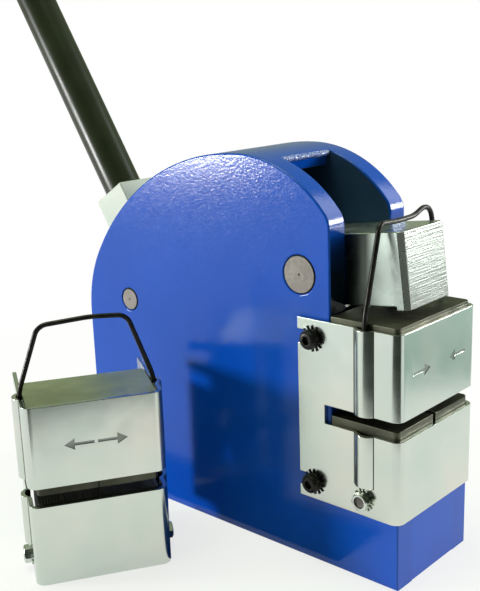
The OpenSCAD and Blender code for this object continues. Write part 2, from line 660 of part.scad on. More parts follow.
// Springs between the case walls and the outer faces of the stretcher jaws
module stretcher_springs(z) color("silver") loose() {
  return_spring(z, stretcher_spring_in, case_in - jaw_clear);
  return_spring(z, jaw_clear - case_in, -stretcher_spring_in);
}
module stretcher_upper_springs() stretcher_springs(stretcher_upper_face + spring_level);
module stretcher_lower_springs() stretcher_springs(stretcher_lower_face - spring_level);

right_side_plate();
left_side_plate();
roof_plate();
rear_plate();
base_plate();
foot_block();
ram_pin();
lever_pin();
lever_spacers();
ram();
ram_bush();
lever_block();
handle_bar();
hand_grip();
case_screws();
case_screw_washers();
shrinker_case();
shrinker_lower_block();
shrinker_jaw_bolts();
shrinker_bolt_washers();
shrinker_pressure_block();
shrinker_bail();
shrinker_upper_jaw_right();
shrinker_upper_jaw_left();
shrinker_lower_jaw_right();
shrinker_lower_jaw_left();
shrinker_upper_spring();
shrinker_lower_spring();
stretcher_case();
stretcher_lower_block();
stretcher_jaw_bolts();
stretcher_bolt_washers();
stretcher_pressure_block();
stretcher_bail();
stretcher_upper_jaw_right();
stretcher_upper_jaw_left();
stretcher_lower_jaw_right();
stretcher_lower_jaw_left();
stretcher_upper_springs();
stretcher_lower_springs();
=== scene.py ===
# %% [markdown]
# # Bench shrinker and stretcher
# An arched steel body carries a long lever. The lever's toe lifts the tail of a square ram, and the ram's nose
# presses on a cartridge of split jaws. A second cartridge stands loose beside the body. This lesson dresses the
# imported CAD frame: the frame fixes every size and joint, and each step below adds the shape and the finish
# that the eye sees.

# %% Load the frame
import json
import math

import bmesh
import bpy
from mathutils import Matrix, Vector

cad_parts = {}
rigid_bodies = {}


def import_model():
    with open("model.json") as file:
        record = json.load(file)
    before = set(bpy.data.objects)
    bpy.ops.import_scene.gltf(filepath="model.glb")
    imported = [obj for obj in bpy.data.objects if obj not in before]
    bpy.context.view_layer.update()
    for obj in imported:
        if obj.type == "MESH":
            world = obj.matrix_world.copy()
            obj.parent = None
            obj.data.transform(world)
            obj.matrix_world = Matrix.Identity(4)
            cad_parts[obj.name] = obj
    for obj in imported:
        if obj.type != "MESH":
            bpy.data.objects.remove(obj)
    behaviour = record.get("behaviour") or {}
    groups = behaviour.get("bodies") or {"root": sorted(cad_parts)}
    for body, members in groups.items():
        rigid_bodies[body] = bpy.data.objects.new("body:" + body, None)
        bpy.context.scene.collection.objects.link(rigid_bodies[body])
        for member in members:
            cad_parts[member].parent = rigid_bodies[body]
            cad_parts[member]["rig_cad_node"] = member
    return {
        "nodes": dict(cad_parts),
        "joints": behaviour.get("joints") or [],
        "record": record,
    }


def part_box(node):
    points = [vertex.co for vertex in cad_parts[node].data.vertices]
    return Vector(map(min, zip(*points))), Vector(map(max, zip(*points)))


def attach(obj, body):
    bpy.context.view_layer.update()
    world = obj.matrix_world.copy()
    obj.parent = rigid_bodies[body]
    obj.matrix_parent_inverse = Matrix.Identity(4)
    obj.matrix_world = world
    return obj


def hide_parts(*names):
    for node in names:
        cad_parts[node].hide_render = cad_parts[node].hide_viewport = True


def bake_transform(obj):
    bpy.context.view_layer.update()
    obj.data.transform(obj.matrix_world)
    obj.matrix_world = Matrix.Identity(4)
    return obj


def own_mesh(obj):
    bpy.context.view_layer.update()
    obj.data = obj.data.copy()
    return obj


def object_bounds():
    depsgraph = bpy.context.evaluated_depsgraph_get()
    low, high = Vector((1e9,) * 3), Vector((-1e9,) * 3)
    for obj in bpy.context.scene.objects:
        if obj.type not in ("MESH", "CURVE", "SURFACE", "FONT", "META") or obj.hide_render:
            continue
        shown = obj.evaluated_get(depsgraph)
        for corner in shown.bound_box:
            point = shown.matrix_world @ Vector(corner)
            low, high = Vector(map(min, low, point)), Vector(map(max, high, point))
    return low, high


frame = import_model()
cad_low, cad_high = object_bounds()
record = frame["record"]
body_of = {node: body for body, nodes in record["behaviour"]["bodies"].items() for node in nodes}
slot_of = {part["node"]: part["material_slot"] for part in record["subparts"]}
MM = 0.001

# %% [markdown]
# ## Camera
# The camera comes first, because every later choice is judged through it. Its place and lens were worked out
# from the straight edges of the body in the photograph: it stands in front of the tool and to its right, looks
# a little down and is turned slightly about its own axis. The lens follows from the picture's height.

# %% Camera
CAMERA_PLACE = Vector((330.82, -379.11, 253.65)) * MM
CAMERA_YAW = math.radians(42.47)
CAMERA_PITCH = math.radians(14.52)
CAMERA_ROLL = math.radians(-2.0)
FOCAL_PIXELS = 962.37
PICTURE_HEIGHT = 591

bpy.ops.object.select_all(action="DESELECT")
bpy.ops.object.camera_add()
camera = bpy.context.active_object
camera.name = "camera"
camera.matrix_world = (
    Matrix.Translation(CAMERA_PLACE)
    @ Matrix.Rotation(CAMERA_YAW, 4, "Z")
    @ Matrix.Rotation(math.pi / 2 - CAMERA_PITCH, 4, "X")
    @ Matrix.Rotation(CAMERA_ROLL, 4, "Z")
)
camera.data.sensor_width = 36
camera.data.lens = FOCAL_PIXELS * camera.data.sensor_width / PICTURE_HEIGHT
camera.data.clip_start = 0.01
bpy.context.scene.camera = camera
print("lens", round(camera.data.lens, 2), "mm")

# %% [markdown]
# ## Helpers for modelling
# Operators act on whatever is selected, so each step first selects one object alone. `choose` then enters edit
# mode and selects faces, edges or points by a test on their place, as a modeller would click them. `turned`
# makes what a lathe makes: a disc is extruded along Z and scaled, step by step, along the piece's profile.


# %% Helpers for selecting and modifying
def only(piece):
    """Select one object alone and make it active."""
    if bpy.context.mode != "OBJECT":
        bpy.ops.object.mode_set(mode="OBJECT")
    bpy.ops.object.select_all(action="DESELECT")
    piece.select_set(True)
    bpy.context.view_layer.objects.active = piece


def choose(piece, kind, test):
    """Enter edit mode with those points, edges or faces selected that pass the test."""
    only(piece)
    bpy.ops.object.mode_set(mode="EDIT")
    bpy.ops.mesh.select_mode(type=kind)
    bpy.ops.mesh.select_all(action="DESELECT")
    mesh = bmesh.from_edit_mesh(piece.data)
    parts = {"VERT": mesh.verts, "EDGE": mesh.edges, "FACE": mesh.faces}[kind]
    for part in [part for part in parts if test(part)]:
        part.select_set(True)
    mesh.select_flush_mode()
    bmesh.update_edit_mesh(piece.data)


def done():
    bpy.ops.object.mode_set(mode="OBJECT")


def modify(piece, kind, **settings):
    """Add a modifier, set it up and apply it."""
    only(piece)
    modifier = piece.modifiers.new(kind.lower(), kind)
    for name, value in settings.items():
        setattr(modifier, name, value)
    bpy.ops.object.modifier_apply(modifier=modifier.name)


def smooth(piece, angle=35):
    """Shade smooth across gentle edges, and keep the large flat faces flat."""
    only(piece)
    bpy.ops.object.shade_smooth_by_angle(angle=math.radians(angle))
    modify(piece, "WEIGHTED_NORMAL", keep_sharp=True)


def round_edges(piece, width, segments=3, angle=35):
    """Round every edge that is sharper than the angle."""
    modify(piece, "BEVEL", width=width, segments=segments, limit_method="ANGLE",
           angle_limit=math.radians(angle), use_clamp_overlap=False)
    smooth(piece)


def round_some(piece, width, test, segments=3):
    """Round only those sharp edges that pass the test."""
    choose(piece, "EDGE", lambda edge: edge.calc_face_angle(0) > math.radians(35) and test(edge))
    bpy.ops.mesh.bevel(offset=width, segments=segments, affect="EDGES", clamp_overlap=False)
    done()
    smooth(piece)


def cut(piece, tool, how="DIFFERENCE"):
    """Cut one mesh by another, and remove the tool."""
    modify(piece, "BOOLEAN", object=tool, operation=how, solver="EXACT")
    bpy.data.objects.remove(tool)


def settle(piece):
    """Move the object's place, turn and scale into its mesh, with faces pointing out."""
    only(piece)
    bpy.ops.object.transform_apply(location=True, rotation=True, scale=True)
    choose(piece, "FACE", lambda face: True)
    bpy.ops.mesh.normals_make_consistent(inside=False)
    done()


# %% Helpers for starting and copying pieces
def added(name):
    """The object that an operator has just added, with a name."""
    piece = bpy.context.active_object
    piece.name = name
    return piece


def copy_of(node, name):
    """A merged copy of a CAD node, as the start of a finished piece."""
    only(frame["nodes"][node])
    bpy.ops.object.duplicate()
    piece = added(name)
    piece.parent = None
    del piece["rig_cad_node"]
    bpy.ops.mesh.customdata_custom_splitnormals_clear()
    choose(piece, "FACE", lambda face: True)
    bpy.ops.mesh.remove_doubles(threshold=0.002 * MM)
    bpy.ops.mesh.dissolve_limited(angle_limit=math.radians(0.4))
    done()
    return piece


def turned(name, steps, sides=64):
    """A lathe-turned piece about Z, from a list of (radius, height) steps."""
    radius, height = steps[0]
    bpy.ops.object.select_all(action="DESELECT")
    bpy.ops.mesh.primitive_circle_add(vertices=sides, radius=radius, fill_type="NGON",
                                      location=(0, 0, height))
    piece = added(name)
    bpy.ops.object.transform_apply(location=True)
    choose(piece, "FACE", lambda face: True)
    for next_radius, next_height in steps[1:]:
        bpy.ops.mesh.extrude_region_move(TRANSFORM_OT_translate={"value": (0, 0, next_height - height)})
        scale = next_radius / radius
        bpy.ops.transform.resize(value=(scale, scale, 1), center_override=(0, 0, next_height))
        radius, height = next_radius, next_height
    done()
    settle(piece)
    return piece


def spread(model, names, spots):
    """Copy a model to several spots, each copy with its own mesh, and remove the model."""
    copies = []
    for name, spot in zip(names, spots):
        only(model)
        bpy.ops.object.duplicate()
        copy = added(name)
        copy.matrix_world = spot
        settle(copy)
        copies.append(copy)
    bpy.data.objects.remove(model)
    return copies


# %% [markdown]
# ## Helpers for finishes
# Each finish is one Principled shader. What is the same all over is set on its sockets, and noise on Object
# coordinates adds what varies: colour, dullness and a fine relief. Object coordinates are in metres here, so a
# noise scale of 1000 gives a grain of about a millimetre.


# %% Helpers for finishes
def new_finish(name, **sockets):
    """A Principled material. Socket names are written with _ for spaces."""
    material = bpy.data.materials.new(name)
    material.use_nodes = True
    shader = material.node_tree.nodes["Principled BSDF"]
    for socket, value in sockets.items():
        shader.inputs[socket.replace("_", " ")].default_value = value
    return material


def add_node(material, kind, links=(), **settings):
    """Add a node, set its fields, and link or set its inputs."""
    node = material.node_tree.nodes.new(kind)
    for name, value in settings.items():
        setattr(node, name, value)
    for socket, source in links:
        if hasattr(source, "is_output"):
            material.node_tree.links.new(source, node.inputs[socket])
        else:
            node.inputs[socket].default_value = source
    return node


def feed(material, source, socket):
    """Link a value to one socket of the material's shader."""
    shader = material.node_tree.nodes["Principled BSDF"]
    material.node_tree.links.new(source, shader.inputs[socket])


def grain(material, scale, stretch=(1, 1, 1), detail=3):
    """Noise on Object coordinates. A larger stretch makes it finer along that axis."""
    place = add_node(material, "ShaderNodeTexCoord").outputs["Object"]
    mapped = add_node(material, "ShaderNodeMapping", [("Vector", place), ("Scale", stretch)])
    noise = add_node(material, "ShaderNodeTexNoise",
                     [("Vector", mapped.outputs["Vector"]), ("Scale", scale), ("Detail", detail)])
    return noise.outputs["Fac"]


def along(material, axis, start, end):
    """A value that runs from 0 to 1 between two Object coordinates on one axis."""
    place = add_node(material, "ShaderNodeTexCoord").outputs["Object"]
    split = add_node(material, "ShaderNodeSeparateXYZ", [("Vector", place)])
    ranged = add_node(material, "ShaderNodeMapRange",
                      [("Value", split.outputs[axis]), ("From Min", start), ("From Max", end)])
    return ranged.outputs["Result"]


def tint(material, amount, *stops):
    """Colour the surface by a ramp of (position, colour) stops."""
    ramp = add_node(material, "ShaderNodeValToRGB", [("Fac", amount)])
    elements = ramp.color_ramp.elements
    while len(elements) < len(stops):
        elements.new(0.5)
    for element, (position, colour) in zip(elements, stops):
        element.position = position
        element.color = (*colour, 1)
    feed(material, ramp.outputs["Color"], "Base Color")


def dull(material, amount, low, high):
    """Vary the roughness between two values."""
    ranged = add_node(material, "ShaderNodeMapRange",
                      [("Value", amount), ("From Min", 0.3), ("From Max", 0.7),
                       ("To Min", low), ("To Max", high)])
    feed(material, ranged.outputs["Result"], "Roughness")


def relief(material, amount, height, strength=1.0):
    """Raise the surface a little, on top of any relief that it already has."""
    normal = material.node_tree.nodes["Principled BSDF"].inputs["Normal"]
    links = [("Height", amount), ("Distance", height), ("Strength", strength)]
    if normal.is_linked:
        links.append(("Normal", normal.links[0].from_socket))
    bump = add_node(material, "ShaderNodeBump", links)
    feed(material, bump.outputs["Normal"], "Normal")


# %% [markdown]
# ## Blue paint
# The body is welded from steel plate and painted a deep cobalt blue, straight from a spray gun: glossy, but
# with the fine dimples called orange peel. Two noises make it: a broad one that shifts the blue a little, and
# a grain of about a millimetre that dimples the surface. The weld bead is speckled paler: a painted highlight.
# The inside faces of the body get a dark, dull blue, as painted shade. The front edges of the plates get a
# painted shadow of the ram, and a ramp up Z fades it in and out.

# %% Blue paint
BLUE = (0.002, 0.062, 0.42)


def new_paint(name):
    material = new_finish(name, Specular_IOR_Level=0.34)
    dull(material, grain(material, 420), 0.12, 0.18)
    relief(material, grain(material, 900, detail=1), 0.065 * MM, 0.8)
    return material


blue_paint = new_paint("blue_paint")
tint(blue_paint, grain(blue_paint, 14), (0.3, (0.001, 0.056, 0.39)), (0.7, (0.003, 0.070, 0.46)))

# Painted shadow of the ram on the front edges of the plates: a dark band up Z.
ram_shadow_paint = new_paint("ram_shadow_paint")
tint(ram_shadow_paint, along(ram_shadow_paint, "Z", 0, 200 * MM), (0.25, BLUE), (0.5, (0.003, 0.008, 0.016)),
     (0.74, (0.003, 0.010, 0.02)), (0.80, (0.002, 0.018, 0.09)), (0.86, BLUE))

# Painted highlight: pale speckles on the weld bead.
weld_highlight_paint = new_finish("weld_highlight_paint", Specular_IOR_Level=0.7, Coat_Weight=0.4, Coat_Roughness=0.2)
tint(weld_highlight_paint, grain(weld_highlight_paint, 900), (0.42, (0.02, 0.07, 0.42)), (0.66, (0.45, 0.52, 0.78)))
dull(weld_highlight_paint, grain(weld_highlight_paint, 700), 0.3, 0.5)
relief(weld_highlight_paint, grain(weld_highlight_paint, 1500), 0.3 * MM, 0.6)

# Painted shade for the inside faces of the body: a dark, dull blue.
inner_shade_paint = new_finish("inner_shade_paint", Specular_IOR_Level=0.2)
tint(inner_shade_paint, grain(inner_shade_paint, 25), (0.3, (0.016, 0.044, 0.100)), (0.7, (0.026, 0.066, 0.150)))
dull(inner_shade_paint, grain(inner_shade_paint, 300), 0.6, 0.8)
relief(inner_shade_paint, grain(inner_shade_paint, 650, detail=2), 0.1 * MM, 0.4)

# %% [markdown]
# ## Zinc
# The cases, the ram and the lever block are zinc plated: pale, with a faint yellow-green and pink cast. The
# rolled sheet is smooth and bright, the bar is duller, the lever block is chalky with age, and the sawn end of
# the ram keeps its saw lines. One function makes them all, because they differ in tone, dullness and relief.
# The ram's sides get a painted shade where they come out from between the plates. A ramp along X fades it.

# %% Zinc
ZINC_STOPS = ((0.3, (0.55, 0.63, 0.57)), (0.5, (0.61, 0.66, 0.60)), (0.7, (0.68, 0.67, 0.61)))
# Painted shade on the ram's sides: dark near the plates and pale towards the nose.
RAM_SHADE_STOPS = ((0.0, (0.10, 0.12, 0.11)), (0.3, (0.09, 0.105, 0.09)), (0.65, (0.34, 0.40, 0.36)),
                (1.0, (0.52, 0.60, 0.55)))


def new_zinc(name, low, high, tone=1.0, metal=1.0, shaded_sides=False):
    material = new_finish(name, Metallic=metal)
    # The ramp along X paints that shade.
    if shaded_sides:
        tint(material, along(material, "X", 72 * MM, 100 * MM), *RAM_SHADE_STOPS)
    else:
        tint(material, grain(material, 22), *[(spot, Vector(colour) * tone) for spot, colour in ZINC_STOPS])
    dull(material, grain(material, 80, detail=4), low, high)
    relief(material, grain(material, 900), 0.02 * MM, 0.2)
    return material


sheet_zinc = new_zinc("sheet_zinc", 0.17, 0.24)
bar_zinc = new_zinc("bar_zinc", 0.24, 0.34)
block_zinc = new_zinc("block_zinc", 0.55, 0.65, tone=0.74, metal=0.1)
# Darker zinc for the floor of the stamp: painted shade in the recess.
stamp_shade_zinc = new_zinc("stamp_shade_zinc", 0.3, 0.4, tone=0.45)
# Zinc with painted shade, for the sides of the ram.
ram_shade_zinc = new_zinc("ram_shade_zinc", 0.22, 0.32, shaded_sides=True)
sawn_zinc = new_zinc("sawn_zinc", 0.26, 0.40, tone=0.38)
relief(sawn_zinc, grain(sawn_zinc, 420, (0.1, 0.1, 3), detail=4), 0.25 * MM, 0.6)

# %% [markdown]
# ## Steels and black finishes
# The jaws and blocks wear a brown-black oxide over ground faces. The loose cartridge's pressure block gets
# a paler olive copy of it, as painted light. Screws, washers and bails are black. The pins show their bare,
# slightly warm steel, the bush is bronze, and the handle is a black enamel with a soft vinyl grip.

# %% Jaw steel and black oxide
jaw_steel = new_finish("jaw_steel", Metallic=0.85)
tint(jaw_steel, grain(jaw_steel, 45, detail=5), (0.3, (0.040, 0.042, 0.030)), (0.72, (0.11, 0.11, 0.080)))
dull(jaw_steel, grain(jaw_steel, 160), 0.34, 0.52)
relief(jaw_steel, grain(jaw_steel, 260, (0.1, 1, 4)), 0.05 * MM, 0.4)

# A paler olive copy of the oxide for the loose cartridge's pressure block: painted light.
painted_light_steel = new_finish("painted_light_steel", Metallic=0.85)
tint(painted_light_steel, grain(painted_light_steel, 45, detail=4), (0.3, (0.30, 0.33, 0.22)), (0.7, (0.44, 0.47, 0.33)))
dull(painted_light_steel, grain(painted_light_steel, 160), 0.34, 0.5)
relief(painted_light_steel, grain(painted_light_steel, 500), 0.04 * MM, 0.3)

black_oxide = new_finish("black_oxide", Metallic=0.6)
tint(black_oxide, grain(black_oxide, 300), (0.3, (0.006, 0.006, 0.006)), (0.7, (0.024, 0.022, 0.020)))
dull(black_oxide, grain(black_oxide, 500), 0.28, 0.46)
relief(black_oxide, grain(black_oxide, 1400), 0.05 * MM, 0.3)

# %% Pins, bush and springs
pin_steel = new_finish("pin_steel", Metallic=1.0)
tint(pin_steel, grain(pin_steel, 120), (0.3, (0.12, 0.113, 0.102)), (0.7, (0.15, 0.140, 0.127)))
dull(pin_steel, grain(pin_steel, 500), 0.45, 0.6)
relief(pin_steel, grain(pin_steel, 1600), 0.03 * MM, 0.4)

bronze = new_finish("bronze", Metallic=1.0)
tint(bronze, grain(bronze, 90), (0.3, (0.40, 0.23, 0.09)), (0.7, (0.58, 0.38, 0.17)))
dull(bronze, grain(bronze, 400), 0.25, 0.42)

spring_steel = new_finish("spring_steel", Metallic=1.0)
tint(spring_steel, grain(spring_steel, 400), (0.3, (0.36, 0.36, 0.37)), (0.7, (0.55, 0.55, 0.54)))
dull(spring_steel, grain(spring_steel, 600), 0.2, 0.35)

# %% Handle and grip finishes
handle_black = new_finish("handle_black", Specular_IOR_Level=0.22)
tint(handle_black, grain(handle_black, 30), (0.3, (0.013, 0.017, 0.008)), (0.7, (0.020, 0.026, 0.013)))
dull(handle_black, grain(handle_black, 90, (1, 1, 0.2)), 0.26, 0.36)
relief(handle_black, grain(handle_black, 700), 0.02 * MM, 0.25)

grip_vinyl = new_finish("grip_vinyl", Specular_IOR_Level=0.4)
tint(grip_vinyl, grain(grip_vinyl, 60), (0.3, (0.010, 0.010, 0.010)), (0.7, (0.022, 0.021, 0.020)))
dull(grip_vinyl, grain(grip_vinyl, 300), 0.42, 0.6)
relief(grip_vinyl, grain(grip_vinyl, 1300, detail=2), 0.08 * MM, 0.5)

finish_of = {"blue_paint": blue_paint, "zinc": sheet_zinc, "jaw_steel": jaw_steel, "black_oxide": black_oxide,
             "pin_steel": pin_steel, "bronze": bronze, "spring_steel": spring_steel,
             "handle_black": handle_black, "grip_vinyl": grip_vinyl}
print("finishes", sorted(finish_of))

# %% [markdown]
# ## Fitting a piece to the frame
# A finished piece takes the finish of its CAD node's material slot, rides on that node's body and stands for
# the node, which is then hidden. A piece that only adds to a node, such as a weld, doesn't stand for it. A
# spring between two bodies stays where it is made and rides on neither.


# %% Fitting a piece to the frame
def fit(piece, node, material=None, stands_for=True, between=None):
    piece.data.materials.clear()
    piece.data.materials.append(material or finish_of[slot_of[node]])
    if between:
        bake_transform(piece)
    else:
        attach(piece, body_of[node])
    if stands_for:
        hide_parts(node)
    print(piece.name, "rides on", body_of[node], "with", len(piece.data.polygons), "faces")


def dress(piece, material, test):
    """Give a second finish to those faces of a fitted piece that pass the test."""
    piece.data.materials.append(material)
    for face in piece.data.polygons:
        if test(face):
            face.material_index = len(piece.data.materials) - 1


# %% [markdown]
# ## Side plates
# Two thick plates carry everything. They start as a copy of the CAD outline, because its arcs are exact, and
# the modelling is in the edges: the outer rim and the pin holes are rounded as thick paint rounds them. Where
# the roof, the foot and the rear plate are welded in flush and ground, the inner rim stays square, so no seam
# shows.

# %% Side plates
RIM_ROUND = 1.0 * MM
NEAR = 0.01 * MM
roof_low, roof_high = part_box("roof_plate")
foot_low, foot_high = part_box("foot_block")
rear_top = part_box("rear_plate")[1].z


def on_plate_rim(edge, outer_y, inner_y):
    """True for the rim of the outer face, and for the free lengths of the inner face's rim."""
    first, second = (end.co for end in edge.verts)
    if abs(first.y - outer_y) < NEAR and abs(second.y - outer_y) < NEAR:
        return True
    if abs(first.y - inner_y) > NEAR or abs(second.y - inner_y) > NEAR:
        return False
    middle = (first + second) / 2
    before_roof = middle.x > roof_high.x + MM and middle.z > foot_high.z + MM
    behind_roof = middle.x < roof_low.x and middle.z > rear_top + MM
    return before_roof or behind_roof


for node, side in (("right_side_plate", -1), ("left_side_plate", 1)):
    plate = copy_of(node, "painted_" + node)
    low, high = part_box(node)
    outer_y, inner_y = (low.y, high.y) if side < 0 else (high.y, low.y)
    round_some(plate, RIM_ROUND, lambda edge: on_plate_rim(edge, outer_y, inner_y), segments=4)
    fit(plate, node)
    # The inside faces of the plates get the painted shade.
    dress(plate, inner_shade_paint, lambda face: side * face.normal.y < -0.99)
    # The front edges of the plates get the painted shadow of the ram.
    dress(plate, ram_shadow_paint, lambda face: face.normal.x > 0.99)

# %% [markdown]
# ## Roof, foot, rear and base plates
# These close the body between the side plates. They are plain blocks, welded and ground flush, so only their
# free edges are rounded: the ends that run across the body, and the rims of the bench bolt holes.

# %% Roof, foot, rear and base plates
FREE_EDGE_ROUND = 0.5 * MM


def runs_across(edge):
    first, second = (end.co for end in edge.verts)
    return abs(first.x - second.x) < NEAR and abs(first.z - second.z) < NEAR


def on_bolt_hole(edge):
    return all(abs(end.co.y) < foot_high.y / 2 for end in edge.verts)


for node in ("roof_plate", "foot_block", "rear_plate"):
    piece = copy_of(node, "painted_" + node)
    round_some(piece, FREE_EDGE_ROUND, runs_across)
    fit(piece, node)
    if node == "roof_plate":
        # The underside of the roof gets the painted shade.
        dress(piece, inner_shade_paint, lambda face: face.normal.z < -0.3)
base = copy_of("base_plate", "painted_base_plate")
round_some(base, FREE_EDGE_ROUND, on_bolt_hole)
fit(base, "base_plate")

# %% [markdown]
# ## Weld bead
# The front edge of the roof is finished by a hand-laid weld bead, speckled pale by a painted highlight. One
# ripple is a flattened ball. An array lays ripples side by side, a voxel remesh melts them together, and a
# cloud texture makes the run uneven, as a hand-held torch does.

# %% Weld bead
BEAD_RADIUS = 2.2 * MM
RIPPLE_STEP = 1.7 * MM
BEAD_VOXEL = 0.32 * MM
weld_clouds = bpy.data.textures.new("weld_clouds", "CLOUDS")
weld_clouds.noise_scale = 3.2 * MM


def weld_bead(name, start, length):
    """A bead along Y that starts at a point."""
    bpy.ops.object.select_all(action="DESELECT")
    bpy.ops.mesh.primitive_uv_sphere_add(segments=20, ring_count=12, radius=BEAD_RADIUS, location=start,
                                         scale=(1, 0.62, 0.72))
    bead = added(name)
    bpy.ops.object.transform_apply(location=True, scale=True)
    modify(bead, "ARRAY", count=int(length / RIPPLE_STEP) + 1, use_relative_offset=False,
           use_constant_offset=True, constant_offset_displace=(0, RIPPLE_STEP, 0))
    modify(bead, "REMESH", mode="VOXEL", voxel_size=BEAD_VOXEL)
    modify(bead, "DISPLACE", texture=weld_clouds, texture_coords="LOCAL", strength=1.1 * MM, mid_level=0.5)
    modify(bead, "SMOOTH", factor=0.5, iterations=2)
    settle(bead)
    bpy.ops.object.shade_smooth()
    return bead


roof_points = [point.co for point in frame["nodes"]["roof_plate"].data.vertices]
roof_lip = max(roof_points, key=lambda place: place.x + place.z / 2)
bead_start = Vector((roof_lip.x - 0.6 * MM, roof_low.y + 1.2 * MM, roof_lip.z - 1.6 * MM))
bead_length = roof_high.y - roof_low.y - 2.4 * MM
# The weld bead gets the paint with the painted highlight.
fit(weld_bead("roof_weld_bead", bead_start, bead_length), "roof_plate", weld_highlight_paint, stands_for=False)

# %% [markdown]
# ## Pins, bush and spacers
# The ram pin and the lever pin are turned bars whose bare ends lie flush in the painted plates. Each is
# turned along Z with a small chamfer and a shallow centre mark at both ends, and then laid across the body.
# The chamfers are painted black: a painted shade that draws a dark ring round the ends.

# %% Pins, bush and spacers
PIN_CHAMFER = 0.6 * MM
CENTRE_MARK = 0.5 * MM
BUSH_ROUND = 0.3 * MM


def laid_across(node):
    """The place of a node that runs across the body, for a model that was made along Z."""
    low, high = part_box(node)
    return Matrix.Translation((low + high) / 2) @ Matrix.Rotation(math.pi / 2, 4, "X")


def pin_profile(radius, half):
    end = [(CENTRE_MARK * 0.2, -half + CENTRE_MARK), (CENTRE_MARK, -half), (radius - PIN_CHAMFER, -half),
           (radius, -half + PIN_CHAMFER)]
    return end + [(step_radius, -height) for step_radius, height in reversed(end)]


for node in ("ram_pin", "lever_pin"):
    low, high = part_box(node)
    pin = turned("turned_" + node, pin_profile((high.z - low.z) / 2, (high.y - low.y) / 2), sides=96)
    pin.matrix_world = laid_across(node)
    settle(pin)
    smooth(pin)
    fit(pin, node)
    # The chamfers get black: painted shade round the pin ends.
    dress(pin, black_oxide, lambda face: 0.3 < abs(face.normal.y) < 0.9)

for node in ("ram_bush", "lever_spacers"):
    piece = copy_of(node, "turned_" + node)
    round_edges(piece, BUSH_ROUND, segments=2)
    fit(piece, node)

# %% [markdown]
# ## Ram and lever block
# Both are lengths of square bar, sawn off and zinc plated. Their edges were broken with a file, so they are
# rounded slightly, and the sawn nose of the ram keeps its saw lines: its faces get a finish of their own. The
# lever block is rounded only above its pin, because a bevel along the short steps of its boss and toe would
# throw spikes.

# %% Ram
RAM_ROUND = 0.45 * MM
NOSE_LENGTH = 8 * MM
SAWN_FACE_TILT = 0.97
ram = copy_of("ram", "plated_ram")
round_edges(ram, RAM_ROUND)
fit(ram, "ram", bar_zinc)
# The ram's sides get the painted shade.
dress(ram, ram_shade_zinc, lambda face: abs(face.normal.y) > 0.9)
nose_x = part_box("ram")[1].x - NOSE_LENGTH
dress(ram, sawn_zinc, lambda face: face.normal.x > SAWN_FACE_TILT and face.center.x > nose_x)

# %% Lever block
LEVER_LEAN = math.radians(32.3)
LEVER_ROUND = 0.8 * MM
BAR_START = 30 * MM
lever_joint = next(joint for joint in frame["joints"] if joint["name"] == "lever_swing")
lever_place = Matrix.Translation(lever_joint["pos_m"]) @ Matrix.Rotation(-LEVER_LEAN, 4, "Y")
upright = lever_place.inverted()


def on_bar(edge):
    """True for the edges of the square bar that reach up from the lever pin."""
    return any((upright @ end.co).z > BAR_START for end in edge.verts)


lever_block = copy_of("lever_block", "plated_lever_block")
round_some(lever_block, LEVER_ROUND, on_bar)
fit(lever_block, "lever_block", block_zinc)

# %% [markdown]
# ## Handle and grip
# The handle is a round bar with a spigot that goes down into the lever block, and the grip is a sleeve of vinyl
# with a closed round end and finger rings. Both are turned upright above the lever pin, then leaned back with
# the lever. The grip's profile runs down its outside and up its inside, so that it is hollow.

# %% Handle
BLOCK_LENGTH = 66 * MM
HANDLE_LENGTH = 430 * MM
SPIGOT_LENGTH = 28 * MM
SPIGOT_RADIUS = 7 * MM
handle_low, handle_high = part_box("handle_bar")
handle_radius = (handle_high.y - handle_low.y) / 2
handle_foot = BLOCK_LENGTH
handle_end = BLOCK_LENGTH + HANDLE_LENGTH
handle = turned("enamelled_handle_bar", [
    (SPIGOT_RADIUS - MM, handle_foot - SPIGOT_LENGTH), (SPIGOT_RADIUS, handle_foot - SPIGOT_LENGTH + MM),
    (SPIGOT_RADIUS, handle_foot), (handle_radius - 0.6 * MM, handle_foot),
    (handle_radius, handle_foot + 0.6 * MM), (handle_radius, handle_end - MM),
    (handle_radius - MM, handle_end)])
handle.matrix_world = lever_place
settle(handle)
smooth(handle)
fit(handle, "handle_bar")

# %% Grip
GRIP_LENGTH = 120 * MM
GRIP_END = 4 * MM
RING_COUNT = 9
RING_DEPTH = 0.9 * MM
grip_low, grip_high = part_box("hand_grip")
grip_radius = (grip_high.y - grip_low.y) / 2
grip_top = handle_end + GRIP_END
grip_rim = handle_end - GRIP_LENGTH
grip_profile = [(grip_radius - 9 * MM, grip_top), (grip_radius - 4.4 * MM, grip_top - 0.4 * MM),
                (grip_radius - 1.9 * MM, grip_top - 1.6 * MM), (grip_radius - 0.5 * MM, grip_top - 3.6 * MM),
                (grip_radius, grip_top - 6 * MM)]
ring_pitch = (GRIP_LENGTH - 24 * MM) / RING_COUNT
ring_groove = ((0, 0), (0.7, 0.12), (1, 0.25), (0.7, 0.38), (0, 0.5))
for ring in range(RING_COUNT):
    ring_top = grip_top - 12 * MM - ring * ring_pitch
    grip_profile += [(grip_radius - depth * RING_DEPTH, ring_top - share * ring_pitch)
                     for depth, share in ring_groove]
grip_profile += [(grip_radius, grip_rim + 3 * MM), (grip_radius - 0.4 * MM, grip_rim + MM),
                 (grip_radius - 1.3 * MM, grip_rim), (handle_radius, grip_rim), (handle_radius, handle_end)]
grip = turned("ribbed_hand_grip", grip_profile)
grip.matrix_world = lever_place
settle(grip)
smooth(grip, 50)
fit(grip, "hand_grip")

# %% [markdown]
# ## The two cartridges
# Both cartridges are the same bent sheet case, one bolted to the body and one standing loose and turned. So
# each is described in its own upright frame: the origin is on the floor of the case, midway between the two
# beads, with X to its front. The loose one's turn is read from the axis along which its jaws part.

